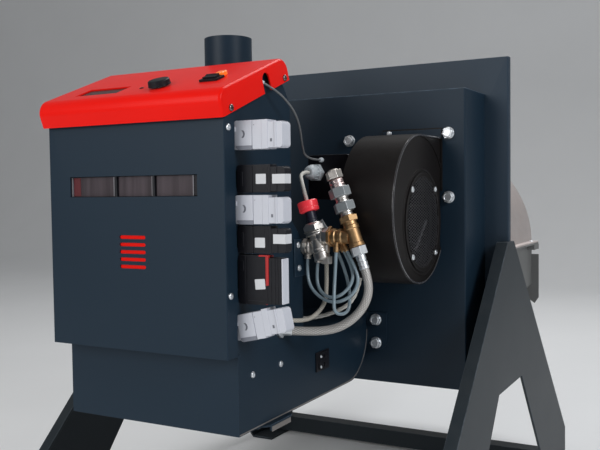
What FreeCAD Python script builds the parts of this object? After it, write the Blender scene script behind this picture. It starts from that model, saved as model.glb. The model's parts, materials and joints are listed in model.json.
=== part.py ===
import FreeCAD, Part
import math
import os
from FreeCAD import Placement, Rotation, Vector

# A pellet burner on its A-frame stand. Millimetres. X runs to the right seen from the
# front, Y from the front cover towards the boiler, Z up. The solids are drawn with the
# front cover at Y = 0 and its lower edge at Z = 0. At the end they are moved so that the
# origin lies on the floor, at the middle of the object's length and width.

# Sheet thicknesses, clearances and a distance past every part, for cutting away
sheet = 1.5
lid_sheet = 2.0
box_sheet = 3.0
stand_sheet = 4.0
seat = 0.3
running = 0.05
beyond = 2000.0

# Front cover with its window and vent
cover_w = 240.0
cover_h = 256.0
cover_return = 19.0
window_x = (-89.0, 86.0)
window_z = (166.5, 189.0)
window_bars = (-24.0, 28.0)
window_bar_w = 3.0
bezel_depth = 8.0
bezel_lip = 5.0
vent_x = -1.0
vent_z = 107.0
vent_slots = 5
vent_slot_w = 36.0
vent_slot_h = 4.0
vent_pitch = 8.0

# Upper cabinet
cabinet_w = 234.0
cabinet_depth = 140.0
wing_y = 166.0
wing_z = 112.0
cabinet_front = 2.5
cabinet_flange = 12.0
roof_drop = 30.0

# Sloping lid
lid_w = 248.0
lid_tilt = 21.0
lid_y = -6.0
lid_z = 244.5
lid_length = 146.0
lid_depth = 27.5
lid_front_r = 15.0
lid_rear_r = 16.0
lid_side_r = 4.0
lid_slot_u = (86.0, 101.0)
lid_slot_depth = 21.0

# Controls on the lid, each at its X and its distance up the slope
display_at = (-58.0, 42.0)
display_size = (60.0, 28.0)
lamp_at = (-2.0, 41.0)
lamp_r = 2.5
knob_at = (24.0, 40.0)
knob_r = 12.5
knob_h = 6.5
knob_grooves = 12
knob_push = 1.0
knob_gap = 1.6
shaft_r = 3.0
encoder_size = (12.0, 12.0, 6.5)
bush_r = 4.5
bush_h = 0.5
rocker_at = (84.0, 52.0)
rocker_size = (19.0, 13.0)
rocker_swing = 16.0
rocker_pivot_v = 26.5
rocker_mid_h = 5.4
rocker_frame_h = 2.5
lens_size = (17.0, 11.0, 5.0)

# Lower housing with its clean-out slide
housing_w = 232.7
housing_front = 24.0
housing_bottom = -86.0
housing_corner_r = 62.0
housing_flange = 29.0
housing_flange_low = -52.0
inlet_y = (202.0, 227.0)
inlet_z = (-51.0, -31.0)
inlet_proud = 3.5
slide_y = (72.0, 132.0)
slide_sheet = 2.0
slide_tab = 7.0
slide_hole = 60.0
slide_rail = 70.0

# Flange box and boiler flange
box_w = 514.0
box_front = 357.0
box_top = 302.0
box_bottom = -97.0
plate_y = 448.5
plate_w = 580.0
plate_top = 351.8
plate_low = -101.0
plate_return = 12.0
gasket_thick = 12.0
gasket_w = 40.0

# Combustion chamber
axis_z = 60.0
arch_r = 203.0
chamber_wall = 3.0
chamber_end = 975.0
side_low = -25.0
trough_half = 140.0
trough_bottom = -92.0
mouth_flange = 14.0
joint_flange = 13.0
grate_z = -42.0
grate_thick = 5.0
grate_y = (575.0, 935.0)
grate_slots = 12
igniter_x = 90.0
igniter_z = -12.0
igniter_r = 6.0

# Pellet feed
drop_r = 30.0
drop_wall = 2.0
drop_y = 191.0
drop_top = 363.5
hose_seat = 77.5
auger_r = 35.0
auger_wall = 3.0
auger_z = -43.0
auger_y = (100.0, 560.0)
screw_r = 29.5
screw_shaft_r = 9.0
screw_pitch = 60.0
screw_blade = 4.0
gear_y = (64.0, 94.0)
motor_r = 24.0

# Fan
fan_x = (156.0, 223.0)
fan_y = 280.0
fan_z = 145.5
fan_r = 93.5
fan_sheet = 1.5
wheel_y = 288.0
wheel_z = 129.0
inlet_r = 54.0
guard_r = 62.0
guard_thick = 2.0
outlet_flange_x = (142.0, 226.0)
outlet_flange_z = (168.0, 251.0)
wheel_r = 62.0
wheel_inner_r = 50.0
wheel_w = 44.0
blades = 24
fan_motor_r = 30.0
terminal_x = 92.0

# Connectors on the cabinet's right side: colour, lower Z, height, half lengths, tilt
connector_y = 22.0
connector_depth = 18.0
black_set_back = 4.0
connector_rows = (
    ("white", 213.5, 29.5, 33.0, 24.0, 0.0),
    ("black", 169.5, 28.5, 33.0, 24.0, 0.0),
    ("white", 137.5, 29.5, 33.0, 24.0, 0.0),
    ("black", 107.5, 28.0, 33.0, 24.0, 0.0),
    ("power", 54.5, 51.0, 33.0, 18.0, 0.0),
    ("white", 15.5, 28.0, 33.0, 25.0, 12.0),
)
gasket_seam = 2.0

# Compressed-air valves beside the cabinet: the sensor's axis and the valve's axis
valve_y = 166.0
cross_at = Vector(139.5, valve_y, 105.5)
sensor_dir = Vector(-0.282, 0.0, 0.9594)
tee_at = Vector(189.0, valve_y, 105.6)
tee_dir = Vector(-0.33, 0.0, 0.944)
branch_z = 117.0
bracket_thick = 2.0

# Cords: diameter and the points of each route
big_hose_d = 10.0
big_hose = (
    (197.9, 166.0, 80.2), (204.5, 166.0, 61.3), (200.5, 158.0, 37.5),
    (183.0, 146.0, 18.0), (158.0, 134.0, 10.0), (129.0, 117.0, 12.5),
)
thin_hose_d = 5.0
thin_hose = (
    (148.4, 167.0, 85.0), (148.4, 167.0, 62.0), (148.0, 164.0, 38.0),
    (142.0, 144.0, 24.0), (135.0, 126.0, 22.5), (126.0, 112.0, 25.0),
)
air_tube_d = 4.0
outer_tube = (
    (124.0, 166.0, 90.0), (123.0, 165.0, 68.0), (136.0, 159.0, 50.0),
    (161.0, 156.0, 39.5), (184.0, 158.0, 48.0), (193.0, 162.0, 66.0),
    (185.5, 165.0, 84.0), (175.5, 166.5, 100.0),
)
inner_tube = (
    (137.6, 166.0, 86.0), (135.5, 165.0, 66.0), (144.0, 160.0, 51.5),
    (159.0, 157.0, 45.5), (174.0, 158.0, 51.0), (185.5, 163.0, 67.0),
    (178.5, 170.0, 85.0), (169.5, 171.0, 99.5),
)
middle_tube = (
    (164.5, 160.0, 99.0), (164.5, 157.0, 76.0), (166.5, 149.0, 50.0),
    (168.5, 145.0, 29.0), (179.0, 163.0, 29.0), (177.0, 170.0, 52.0),
    (171.0, 172.0, 76.0), (160.5, 172.0, 99.0),
)
sensor_cable_d = 4.5
sensor_cable = (
    (124.0, 166.0, 158.3), (118.5, 166.0, 177.0), (104.0, 186.0, 193.0),
    (104.0, 208.0, 193.0),
)
lid_cable_d = 2.5
lid_cable = (
    (121.5, 75.5, 287.0), (129.5, 88.0, 280.0), (134.5, 105.0, 268.5),
    (135.0, 122.0, 256.0), (130.0, 141.0, 241.5), (121.0, 161.0, 225.0),
    (112.0, 186.0, 208.5), (112.0, 224.0, 208.5),
)
fan_lead_d = 5.0
lead_bush = 3.0
fan_lead = (
    (70.0, cabinet_depth + lead_bush, 14.0), (70.0, cabinet_depth + 22.0, 14.0), (84.0, 186.0, 13.0),
    (104.0, 198.0, 13.0), (126.0, 201.0, 17.0), (147.0, 201.0, 25.0),
    (161.0, 205.0, 34.0), (165.0, 215.9, 47.3), (165.0, 225.6, 62.2),
)

# A-frame stand
stand_mid = 447.0
stand_top = 96.0
stand_apex = 17.0
stand_foot = 392.0
stand_knee = -268.0
stand_arch = -105.0
stand_arch_half = 63.0
stand_foot_inner = 254.0
floor_z = -330.0
stand_lip = 12.0
foot_flange = 40.0
bar_size = 30.0
bar_y = 330.0

# Fasteners: the (Y, Z) of the side screws, the (X, Z) of the rear ones
spacer_r = 5.0
cover_screws = ((7.0, 64.7), (7.0, 235.7))
lid_screw_u = (16.0, 133.0)
lid_screw_v = 5.0
housing_screws = ((52.0, -25.5), (112.0, -25.5))
bracket_screws = ((153.5, 79.9), (151.5, 107.0))
guard_screw_r = 58.0
outlet_screw = (152.0, 246.0)
joint_screw_y = (520.0, 660.0, 800.0, 940.0)
box_bolts = ((91.3, 238.8), (234.5, 243.8), (234.5, 159.5), (91.3, 159.5))
housing_bolt_x = 130.0
housing_bolt_z = (-9.8, -42.0)
m5_head_r = 3.6
m5_head_h = 2.2
m8_flats = 13.0
m8_head_h = 5.5
m8_washer_r = 8.0
m8_washer_h = 1.6

tan_lid = math.tan(math.radians(lid_tilt))
cos_lid = math.cos(math.radians(lid_tilt))
sin_lid = math.sin(math.radians(lid_tilt))
half_cover = cover_w / 2
half_cabinet = cabinet_w / 2
half_lid = lid_w / 2
half_housing = housing_w / 2
half_box = box_w / 2
half_plate = plate_w / 2
plate_back = plate_y + box_sheet
x_axis = Vector(1, 0, 0)
y_axis = Vector(0, 1, 0)
z_axis = Vector(0, 0, 1)
parts = {}


def block(x0, x1, y0, y1, z0, z1):
    return Part.makeBox(x1 - x0, y1 - y0, z1 - z0, Vector(x0, y0, z0))


def rod(start, axis, radius, length):
    return Part.makeCylinder(radius, length, Vector(*start), Vector(*axis))


def ring(start, axis, outer, inner, length):
    return rod(start, axis, outer, length).cut(rod(start, axis, inner, length))


def hexagon(start, axis, flats, length):
    """A hexagonal bar across the given flats, along the axis."""
    radius = flats / math.sqrt(3)
    turn = Rotation(z_axis, Vector(*axis))
    corners = [Vector(radius * math.cos(math.radians(60 * i)),
                      radius * math.sin(math.radians(60 * i)), 0) for i in range(7)]
    face = Part.Face(Part.makePolygon(corners))
    solid = face.extrude(Vector(0, 0, length))
    solid.Placement = Placement(Vector(*start), turn)
    return solid


def plate_yz(points, x0, x1):
    """A flat plate whose outline is given as (Y, Z), from x0 to x1."""
    corners = [Vector(x0, y, z) for y, z in points]
    corners.append(corners[0])
    return Part.Face(Part.makePolygon(corners)).extrude(Vector(x1 - x0, 0, 0))


def plate_xz(points, y0, y1):
    """A flat plate whose outline is given as (X, Z), from y0 to y1."""
    corners = [Vector(x, y0, z) for x, z in points]
    corners.append(corners[0])
    return Part.Face(Part.makePolygon(corners)).extrude(Vector(0, y1 - y0, 0))


def join(shapes):
    first = shapes[0]
    return first.fuse(list(shapes[1:])).removeSplitter() if len(shapes) > 1 else first


def mirror_x(shape):
    return shape.mirror(Vector(0, 0, 0), x_axis)


def edges_along(shape, direction, test):
    """The straight edges parallel to a direction whose middle passes the test."""
    found = []
    for edge in shape.Edges:
        if not isinstance(edge.Curve, (Part.Line, Part.LineSegment)):
            continue
        line = edge.Vertexes[-1].Point - edge.Vertexes[0].Point
        if line.Length < 0.5 or line.cross(direction).Length > 0.01 * line.Length:
            continue
        if test(edge.CenterOfMass):
            found.append(edge)
    return found


def on_lid(shape):
    """Move a shape from the lid's own frame (X, up the slope, off the slope) to its place."""
    shape.Placement = Placement(Vector(0, lid_y, lid_z), Rotation(x_axis, lid_tilt)).multiply(shape.Placement)
    return shape


def lid_inside_z(y):
    """Height of the lid's underside above a given Y."""
    return lid_z + (y - lid_y) * tan_lid + (lid_depth - lid_sheet) / cos_lid


def export(name, *shapes):
    parts[name] = list(shapes)


def lid_screws():
    """The (Y, Z) of the lid's side screws."""
    return [(lid_y + u * cos_lid - lid_screw_v * sin_lid, lid_z + u * sin_lid + lid_screw_v * cos_lid)
            for u in lid_screw_u]


def make_front_cover():
    top_back = cover_h + cover_return * tan_lid
    side = plate_yz([(0, 0), (cover_return, 0), (cover_return, top_back), (0, cover_h)],
                    half_cover - sheet, half_cover)
    front = block(-half_cover, half_cover, 0, sheet, 0, cover_h)
    bottom = block(-half_cover, half_cover, 0, housing_front - seat, 0, sheet)
    cover = join([front, bottom, side, mirror_x(side)])
    corners = edges_along(cover, z_axis, lambda p: p.y < 0.1 and abs(p.x) > half_cover - 0.1)
    cover = cover.makeFillet(sheet * 0.9, corners)
    cover = cover.cut(block(window_x[0], window_x[1], -1, sheet + 1, window_z[0], window_z[1]))
    for i in range(vent_slots):
        z = vent_z + (i - (vent_slots - 1) / 2) * vent_pitch
        half = vent_slot_w / 2 - vent_slot_h / 2
        slot = block(vent_x - half, vent_x + half, -1, sheet + 1, z - vent_slot_h / 2, z + vent_slot_h / 2)
        for x in (vent_x - half, vent_x + half):
            slot = slot.fuse(rod((x, -1, z), y_axis, vent_slot_h / 2, sheet + 2))
        cover = cover.cut(slot)
    for y, z in lid_screws():
        cover = cover.cut(rod((-half_lid, y, z), x_axis, spacer_r + seat, lid_w))
    export("front_cover", cover)


def make_window():
    x0, x1 = window_x
    z0, z1 = window_z
    back = sheet + bezel_depth
    body = block(x0 - bezel_lip, x1 + bezel_lip, sheet, back, z0 - bezel_lip, z1 + bezel_lip)
    body = body.cut(block(x0, x1, sheet - 1, back - 2, z0, z1))
    bars = [block(x - window_bar_w / 2, x + window_bar_w / 2, sheet, back - 2, z0, z1) for x in window_bars]
    export("window_bezel", join([body] + bars))
    ends = [x0] + [x for bar in window_bars for x in (bar - window_bar_w / 2, bar + window_bar_w / 2)] + [x1]
    panes = [block(a + seat, b - seat, back - 5, back - 2, z0 + seat, z1 - seat)
             for a, b in zip(ends[0::2], ends[1::2])]
    export("window_pane", *panes)


def make_vent_backing():
    half_w = vent_slot_w / 2 + 8
    half_h = vent_slots * vent_pitch / 2 + 6
    export("vent_backing", block(vent_x - half_w, vent_x + half_w, sheet, sheet + 1.2,
                                 vent_z - half_h, vent_z + half_h))


def make_cabinet():
    top_front = lid_inside_z(cabinet_front)
    lid_end = lid_y + (lid_length - lid_rear_r) * cos_lid - lid_depth * sin_lid
    top_rear = lid_inside_z(lid_end)
    rear_top = lid_z + (cabinet_depth - lid_y) * tan_lid - roof_drop
    outline = [(cabinet_front, sheet), (housing_front, sheet), (housing_front, 0), (wing_y, 0), (wing_y, wing_z),
               (cabinet_depth, wing_z + wing_y - cabinet_depth), (cabinet_depth, rear_top), (lid_end, top_rear),
               (cabinet_front, top_front)]
    side = plate_yz(outline, half_cabinet - sheet, half_cabinet)
    floor = block(-half_cabinet, half_cabinet, housing_front, wing_y, 0, sheet)
    drop_gap = rod((0, drop_y, -5), z_axis, drop_r + 12, 20)
    rear = block(-half_cabinet, half_cabinet, cabinet_depth - sheet, cabinet_depth, 0, rear_top)
    roof = plate_yz([(cabinet_depth, rear_top), (lid_end, top_rear), (lid_end, top_rear - 2 * sheet),
                     (cabinet_depth, rear_top - 2 * sheet)], -half_cabinet, half_cabinet)
    spacers = []
    inside = half_cabinet - sheet / 2
    for y, z in cover_screws:
        spacers.append(rod((inside, y, z), x_axis, spacer_r, half_cover - sheet - inside))
    for y, z in lid_screws():
        spacers.append(rod((inside, y, z), x_axis, spacer_r, half_lid - lid_sheet - inside))
    length = (lid_end - cabinet_front) / cos_lid
    flange = block(half_cabinet - cabinet_flange, half_cabinet, 0, length, -sheet, 0)
    flange.Placement = Placement(Vector(0, cabinet_front, top_front), Rotation(x_axis, lid_tilt))
    flange = flange.common(block(0, half_cabinet, cabinet_front, lid_end, 0, top_rear + 5))
    half = join([side, flange] + spacers)
    shell = join([floor.cut(drop_gap), rear, roof, half, mirror_x(half)])
    for kind, z, height, first, second, tilt in connector_rows:
        hole_y = connector_y + connector_depth / 2
        hole_z = z + height / 2
        shell = shell.cut(block(half_cabinet - sheet - 1, half_cabinet + 1, hole_y - 6, hole_y + 6,
                                hole_z - height / 2 + 5, hole_z + height / 2 - 5))
    export("cabinet_shell", shell)


def lid_profile(inset, low):
    """The lid's side outline, set in by a distance and open down to a low height."""
    front = lid_front_r - inset
    rear = lid_rear_r - inset
    top = lid_depth - inset
    end = lid_length - inset
    cos45 = math.cos(math.radians(45))
    front_mid = Vector(0, lid_front_r - front * cos45, lid_depth - lid_front_r + front * cos45)
    rear_mid = Vector(0, lid_length - lid_rear_r + rear * cos45, lid_depth - lid_rear_r + rear * cos45)
    wire = Part.Wire([
        Part.makeLine(Vector(0, inset, low), Vector(0, inset, lid_depth - lid_front_r)),
        Part.Arc(Vector(0, inset, lid_depth - lid_front_r), front_mid, Vector(0, lid_front_r, top)).toShape(),
        Part.makeLine(Vector(0, lid_front_r, top), Vector(0, lid_length - lid_rear_r, top)),
        Part.Arc(Vector(0, lid_length - lid_rear_r, top), rear_mid,
                 Vector(0, end, lid_depth - lid_rear_r)).toShape(),
        Part.makeLine(Vector(0, end, lid_depth - lid_rear_r), Vector(0, end, low)),
        Part.makeLine(Vector(0, end, low), Vector(0, inset, low)),
    ])
    return Part.Face(wire)


def make_lid():
    body = lid_profile(0, 0).extrude(Vector(lid_w, 0, 0))
    body.translate(Vector(-half_lid, 0, 0))
    rim = [e for e in body.Edges if abs(abs(e.CenterOfMass.x) - half_lid) < 0.01 and e.CenterOfMass.z > 0.5]
    body = body.makeFillet(lid_side_r, rim)
    inner = lid_profile(lid_sheet, -1).extrude(Vector(lid_w - 2 * lid_sheet, 0, 0))
    inner.translate(Vector(lid_sheet - half_lid, 0, 0))
    shell = body.cut(inner)
    cuts = [block(display_at[0] - display_size[0] / 2, display_at[0] + display_size[0] / 2,
                  display_at[1] - display_size[1] / 2, display_at[1] + display_size[1] / 2,
                  lid_depth - 5, lid_depth + 5),
            rod((lamp_at[0], lamp_at[1], lid_depth - 5), z_axis, lamp_r + seat, 10),
            rod((knob_at[0], knob_at[1], lid_depth - 5), z_axis, bush_r + seat, 10),
            block(rocker_at[0] - rocker_size[0] / 2 - seat, rocker_at[0] + rocker_size[0] / 2 + seat,
                  rocker_at[1] - rocker_size[1] / 2 - seat, rocker_at[1] + rocker_size[1] / 2 + seat,
                  lid_depth - 5, lid_depth + 5)]
    slot_mid = (lid_slot_u[0] + lid_slot_u[1]) / 2
    slot_half = (lid_slot_u[1] - lid_slot_u[0]) / 2
    cuts.append(block(half_lid - 4, half_lid + 4, lid_slot_u[0], lid_slot_u[1], -1, lid_slot_depth - slot_half))
    cuts.append(rod((half_lid - 4, slot_mid, lid_slot_depth - slot_half), x_axis, slot_half, 8))
    for cut in cuts:
        shell = shell.cut(cut)
    export("lid", on_lid(shell))


def make_controls():
    under = lid_depth - lid_sheet
    board_v = under - encoder_size[2] - 1.6
    board = block(-95, 44, 22, 62, board_v, board_v + 1.6)
    posts = [rod((x, y, board_v), z_axis, 2.5, under - board_v) for x in (-91, 40) for y in (26, 58)]
    screen = block(display_at[0] - display_size[0] / 2 + seat, display_at[0] + display_size[0] / 2 - seat,
                   display_at[1] - display_size[1] / 2 + seat, display_at[1] + display_size[1] / 2 - seat,
                   board_v, lid_depth - 1.2)
    lamp = rod((lamp_at[0], lamp_at[1], board_v), z_axis, lamp_r, lid_depth + 0.8 - board_v)
    kx, ky = knob_at
    can = block(kx - encoder_size[0] / 2, kx + encoder_size[0] / 2, ky - encoder_size[1] / 2,
                ky + encoder_size[1] / 2, board_v, under)
    bush = rod((kx, ky, under - 1), z_axis, bush_r, lid_sheet + 1 + bush_h)
    bore = rod((kx, ky, board_v + 1.6), z_axis, shaft_r + running, 40)
    unit = join([board, screen, lamp, can, bush] + posts).cut(bore)
    export("display_board", on_lid(unit))
    plunger = rod((kx, ky, board_v + 1.6 + knob_push + 0.1), z_axis, shaft_r - 0.8, 1.5)
    export("encoder_plunger", on_lid(plunger))
    shaft_bottom = board_v + 1.6 + knob_push + 0.1 + 1.5
    knob_bottom = lid_depth + knob_gap
    knob_top = knob_bottom + knob_h
    shaft = rod((kx, ky, shaft_bottom), z_axis, shaft_r, knob_top - 2 - shaft_bottom)
    export("encoder_shaft", on_lid(shaft))
    body = Part.makeCone(knob_r, knob_r - 0.8, knob_h, Vector(kx, ky, knob_bottom), z_axis)
    body = body.makeChamfer(1.0, [e for e in body.Edges if e.CenterOfMass.z > knob_top - 0.1])
    for i in range(knob_grooves):
        angle = 2 * math.pi * i / knob_grooves
        x = kx + (knob_r + 0.5) * math.cos(angle)
        y = ky + (knob_r + 0.5) * math.sin(angle)
        body = body.cut(rod((x, y, knob_bottom + 1.5), z_axis, 1.2, knob_h))
    body = body.cut(rod((kx, ky, knob_bottom - 1), z_axis, shaft_r, knob_h - 1))
    export("knob", on_lid(body))


def make_rocker():
    rx, ry = rocker_at
    half_x = rocker_size[0] / 2
    half_y = rocker_size[1] / 2
    frame = block(rx - half_x - 2, rx + half_x + 2, ry - half_y - 2, ry + half_y + 2,
                  lid_depth, lid_depth + rocker_frame_h)
    frame = frame.fuse(block(rx - half_x, rx + half_x, ry - half_y, ry + half_y, lid_depth - 17, lid_depth))
    frame = frame.cut(block(rx - half_x + 1.2, rx + half_x - 1.2, ry - half_y + 1.2, ry + half_y - 1.2,
                            lid_depth - 13, lid_depth + 5))
    pin = rod((rx - half_x + 0.6, ry, rocker_pivot_v), x_axis, 0.9, 2 * half_x - 1.2)
    lens_y = ry + half_y + 2
    lens = block(rx - lens_size[0] / 2, rx + lens_size[0] / 2, lens_y, lens_y + lens_size[1],
                 lid_depth, lid_depth + lens_size[2])
    lens = lens.makeChamfer(1.2, [e for e in lens.Edges if e.CenterOfMass.z > lid_depth + lens_size[2] - 0.1])
    export("switch_housing", on_lid(join([frame, pin, lens])))
    wide = half_x - 1.2 - seat
    half = half_y - 1.2 - 0.7
    rise = half * math.tan(math.radians(rocker_swing / 2))
    top = plate_yz([(ry - half, rocker_pivot_v - 1.5), (ry + half, rocker_pivot_v - 1.5),
                    (ry + half, rocker_pivot_v + rocker_mid_h + rise), (ry, rocker_pivot_v + rocker_mid_h),
                    (ry - half, rocker_pivot_v + rocker_mid_h + rise)], rx - wide, rx + wide)
    bore = rod((rx - 20, ry, rocker_pivot_v), x_axis, 0.9 + running, 40)
    rocker = top.cut(bore)
    rest = Placement(Vector(0, 0, 0), Rotation(x_axis, rocker_swing / 2), Vector(rx, ry, rocker_pivot_v))
    rocker.Placement = rest.multiply(rocker.Placement)
    export("rocker", on_lid(rocker))


def make_lower_housing():
    deck = 0.0
    r = housing_corner_r
    low = housing_bottom
    arc_mid = Vector(0, box_front - r + r * math.sin(math.radians(45)), low + r - r * math.cos(math.radians(45)))
    wire = Part.Wire([
        Part.makeLine(Vector(0, housing_front, deck), Vector(0, housing_front, low)),
        Part.makeLine(Vector(0, housing_front, low), Vector(0, box_front - r, low)),
        Part.Arc(Vector(0, box_front - r, low), arc_mid, Vector(0, box_front, low + r)).toShape(),
        Part.makeLine(Vector(0, box_front, low + r), Vector(0, box_front, deck)),
        Part.makeLine(Vector(0, box_front, deck), Vector(0, housing_front, deck)),
    ])
    solid = Part.Face(wire).extrude(Vector(housing_w, 0, 0))
    solid.translate(Vector(-half_housing, 0, 0))
    inner = block(-half_housing + sheet, half_housing - sheet, housing_front + sheet, box_front + 1,
                  low + sheet, deck - sheet)
    shell = solid.cut(inner.common(shrunk_profile(deck, low, r)))
    shell = shell.cut(rod((0, drop_y, deck - 5), z_axis, drop_r + seat, 10))
    shell = shell.cut(rod((0, box_front - r, auger_z), y_axis, auger_r + seat, 2 * r))
    shell = shell.cut(block(half_housing - 3, half_housing + 1, inlet_y[0] - seat, inlet_y[1] + seat,
                            inlet_z[0] - seat, inlet_z[1] + seat))
    flange = block(half_housing, half_housing + housing_flange, box_front - 3, box_front, housing_flange_low, deck)
    outer = edges_along(flange, y_axis, lambda p: p.x > half_housing + 1 and p.z < housing_flange_low + 1)
    flange = flange.makeFillet(housing_flange / 2, outer)
    shell = join([shell, flange, mirror_x(flange)])
    slot = block(-slide_hole, half_housing + 1, slide_y[0] + 8, slide_y[1] - 8, low - 1, low + sheet + 1)
    shell = shell.cut(slot.common(block(-beyond, slide_hole, 0, beyond, low - 1, low + sheet + 1)))
    rails = []
    for y0, y1, lip in ((slide_y[0] - 4, slide_y[0] - seat, slide_y[0] + 5),
                        (slide_y[1] + seat, slide_y[1] + 4, slide_y[1] - 5)):
        web = block(-slide_rail, half_housing - 4, y0, y1, low - slide_sheet - 2 * seat - sheet, low)
        lips = block(-slide_rail, half_housing - 4, min(y0, lip), max(y1, lip),
                     low - slide_sheet - 2 * seat - sheet, low - slide_sheet - 2 * seat)
        rails += [web, lips]
    export("lower_housing", join([shell] + rails))


def shrunk_profile(deck, low, r):
    """The inside of the lower housing, one sheet in from its rounded rear corner."""
    small = r - sheet
    mid = Vector(0, box_front - r + small * math.sin(math.radians(45)), low + r - small * math.cos(math.radians(45)))
    wire = Part.Wire([
        Part.makeLine(Vector(0, housing_front, deck), Vector(0, housing_front, low + sheet)),
        Part.makeLine(Vector(0, housing_front, low + sheet), Vector(0, box_front - r, low + sheet)),
        Part.Arc(Vector(0, box_front - r, low + sheet), mid, Vector(0, box_front - sheet, low + r)).toShape(),
        Part.makeLine(Vector(0, box_front - sheet, low + r), Vector(0, box_front - sheet, deck)),
        Part.makeLine(Vector(0, box_front - sheet, deck), Vector(0, housing_front, deck)),
    ])
    solid = Part.Face(wire).extrude(Vector(housing_w, 0, 0))
    solid.translate(Vector(-half_housing, 0, 0))
    return solid


def make_clean_out_slide():
    top = housing_bottom - seat
    y0, y1 = slide_y
    plate = block(-66, half_housing + 6, y0, y1, top - slide_sheet, top)
    tab = block(half_housing + 4, half_housing + 6, y0 + 8, y1 - 8, top - slide_tab, top)
    ends = edges_along(plate, z_axis, lambda p: p.x > 0)
    plate = plate.makeFillet(8, ends)
    export("clean_out_slide", join([plate, tab]))


def make_power_inlet():
    y0, y1 = inlet_y
    z0, z1 = inlet_z
    body = block(half_housing - 12, half_housing + inlet_proud, y0, y1, z0, z1)
    rim = block(half_housing, half_housing + inlet_proud / 2, y0 - 5, y1 + 5, z0 - 2, z1 + 2)
    body = join([body, rim])
    body = body.makeChamfer(1.5, edges_along(body, x_axis, lambda p: p.x > half_housing + inlet_proud * 0.6))
    mid = (y0 + y1) / 2
    for z in (z0 + 5, z1 - 5):
        body = body.cut(rod((half_housing - 5, mid, z), x_axis, 2.6, 20))
        body = body.fuse(rod((half_housing - 12, mid, z), x_axis, 1.5, 12 + inlet_proud * 0.8))
        body = body.fuse(rod((half_housing - 12, mid, z), x_axis, 3.5, 6))
    export("power_inlet", body.removeSplitter())


def make_flange_box():
    front = block(-half_box, half_box, box_front, box_front + box_sheet, box_bottom, box_top)
    body = block(-half_box, half_box, box_front, plate_y, box_bottom, box_top)
    inner = block(-half_box + box_sheet, half_box - box_sheet, box_front + box_sheet, plate_y + 1,
                  box_bottom + box_sheet, box_top - box_sheet)
    body = body.cut(inner)
    corners = edges_along(body, z_axis, lambda p: p.y < box_front + 0.1 and abs(p.x) > half_box - 0.1)
    body = body.makeFillet(2.0, corners)
    body = body.cut(rod((0, box_front - 1, auger_z), y_axis, auger_r + seat, 10))
    body = body.cut(block(outlet_flange_x[0] + 12, outlet_flange_x[1] - 12, box_front - 1, box_front + 10,
                          outlet_flange_z[0] + 12, outlet_flange_z[1] - 12))
    export("flange_box", body)


def chamber_outline(inset):
    """The trough's (X, Z) outline, open at the top, set in by a distance."""
    half = arch_r - inset
    low_half = trough_half - inset * 0.6
    return [(-half, axis_z), (-half, side_low + inset * 0.35), (-low_half, trough_bottom + inset),
            (low_half, trough_bottom + inset), (half, side_low + inset * 0.35), (half, axis_z)]


def make_flange_plate():
    face = block(-half_plate, half_plate, plate_y, plate_back, plate_low, plate_top)
    back = plate_y + plate_return
    side = block(half_plate - box_sheet, half_plate, plate_y, back, plate_low, plate_top)
    top = block(-half_plate, half_plate, plate_y, back, plate_top - box_sheet, plate_top)
    low = block(-half_plate, half_plate, plate_y, back, plate_low, plate_low + box_sheet)
    pan = join([face, side, mirror_x(side), top, low])
    pan = pan.makeFillet(2.0, edges_along(pan, z_axis, lambda p: p.y < plate_y + 0.1 and abs(p.x) > half_plate - 0.1))
    pan = pan.cut(rod((0, plate_y - 1, axis_z), y_axis, arch_r - 25, 10).common(
        block(-half_plate, half_plate, 0, beyond, axis_z, plate_top)))
    pan = pan.cut(block(-trough_half, trough_half, plate_y - 1, plate_back + 1, side_low - 40, axis_z + 1))
    strap = block(igniter_x - 14, igniter_x + 14, plate_y, plate_back, side_low - 41, igniter_z + 14)
    pan = join([pan, strap]).cut(rod((igniter_x, plate_y - 1, igniter_z), y_axis, igniter_r + running, 10))
    pan = pan.cut(rod((0, plate_y - 1, auger_z), y_axis, auger_r + seat, 10))
    export("flange_plate", pan)


def make_gasket():
    outer = rod((0, plate_back, axis_z), y_axis, arch_r + gasket_w, gasket_thick)
    outer = outer.common(block(-beyond, beyond, 0, beyond, axis_z, beyond))
    lower = plate_xz([(-arch_r - gasket_w, axis_z), (-arch_r - gasket_w, plate_low + box_sheet + 1),
                      (arch_r + gasket_w, plate_low + box_sheet + 1), (arch_r + gasket_w, axis_z)],
                     plate_back, plate_back + gasket_thick)
    body = outer.fuse(lower).removeSplitter()
    hole = rod((0, plate_back - 1, axis_z), y_axis, arch_r + seat, gasket_thick + 2)
    hole = hole.common(block(-beyond, beyond, 0, beyond, axis_z, beyond))
    low_outline = [(-arch_r - seat, axis_z + 1), (-arch_r - seat, side_low),
                   (-trough_half - seat, trough_bottom - seat), (trough_half + seat, trough_bottom - seat),
                   (arch_r + seat, side_low), (arch_r + seat, axis_z + 1)]
    body = body.cut(hole).cut(plate_xz(low_outline, plate_back - 1, plate_back + gasket_thick + 1))
    cut_back = joint_flange + seat
    for side in (-1, 1):
        x0 = min(side * (arch_r - 1), side * (arch_r + cut_back))
        body = body.cut(block(x0, x0 + cut_back + 1, plate_back - 1, plate_back + gasket_thick + 1,
                              axis_z - chamber_wall - seat, axis_z + chamber_wall + seat))
    export("boiler_gasket", body)


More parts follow.
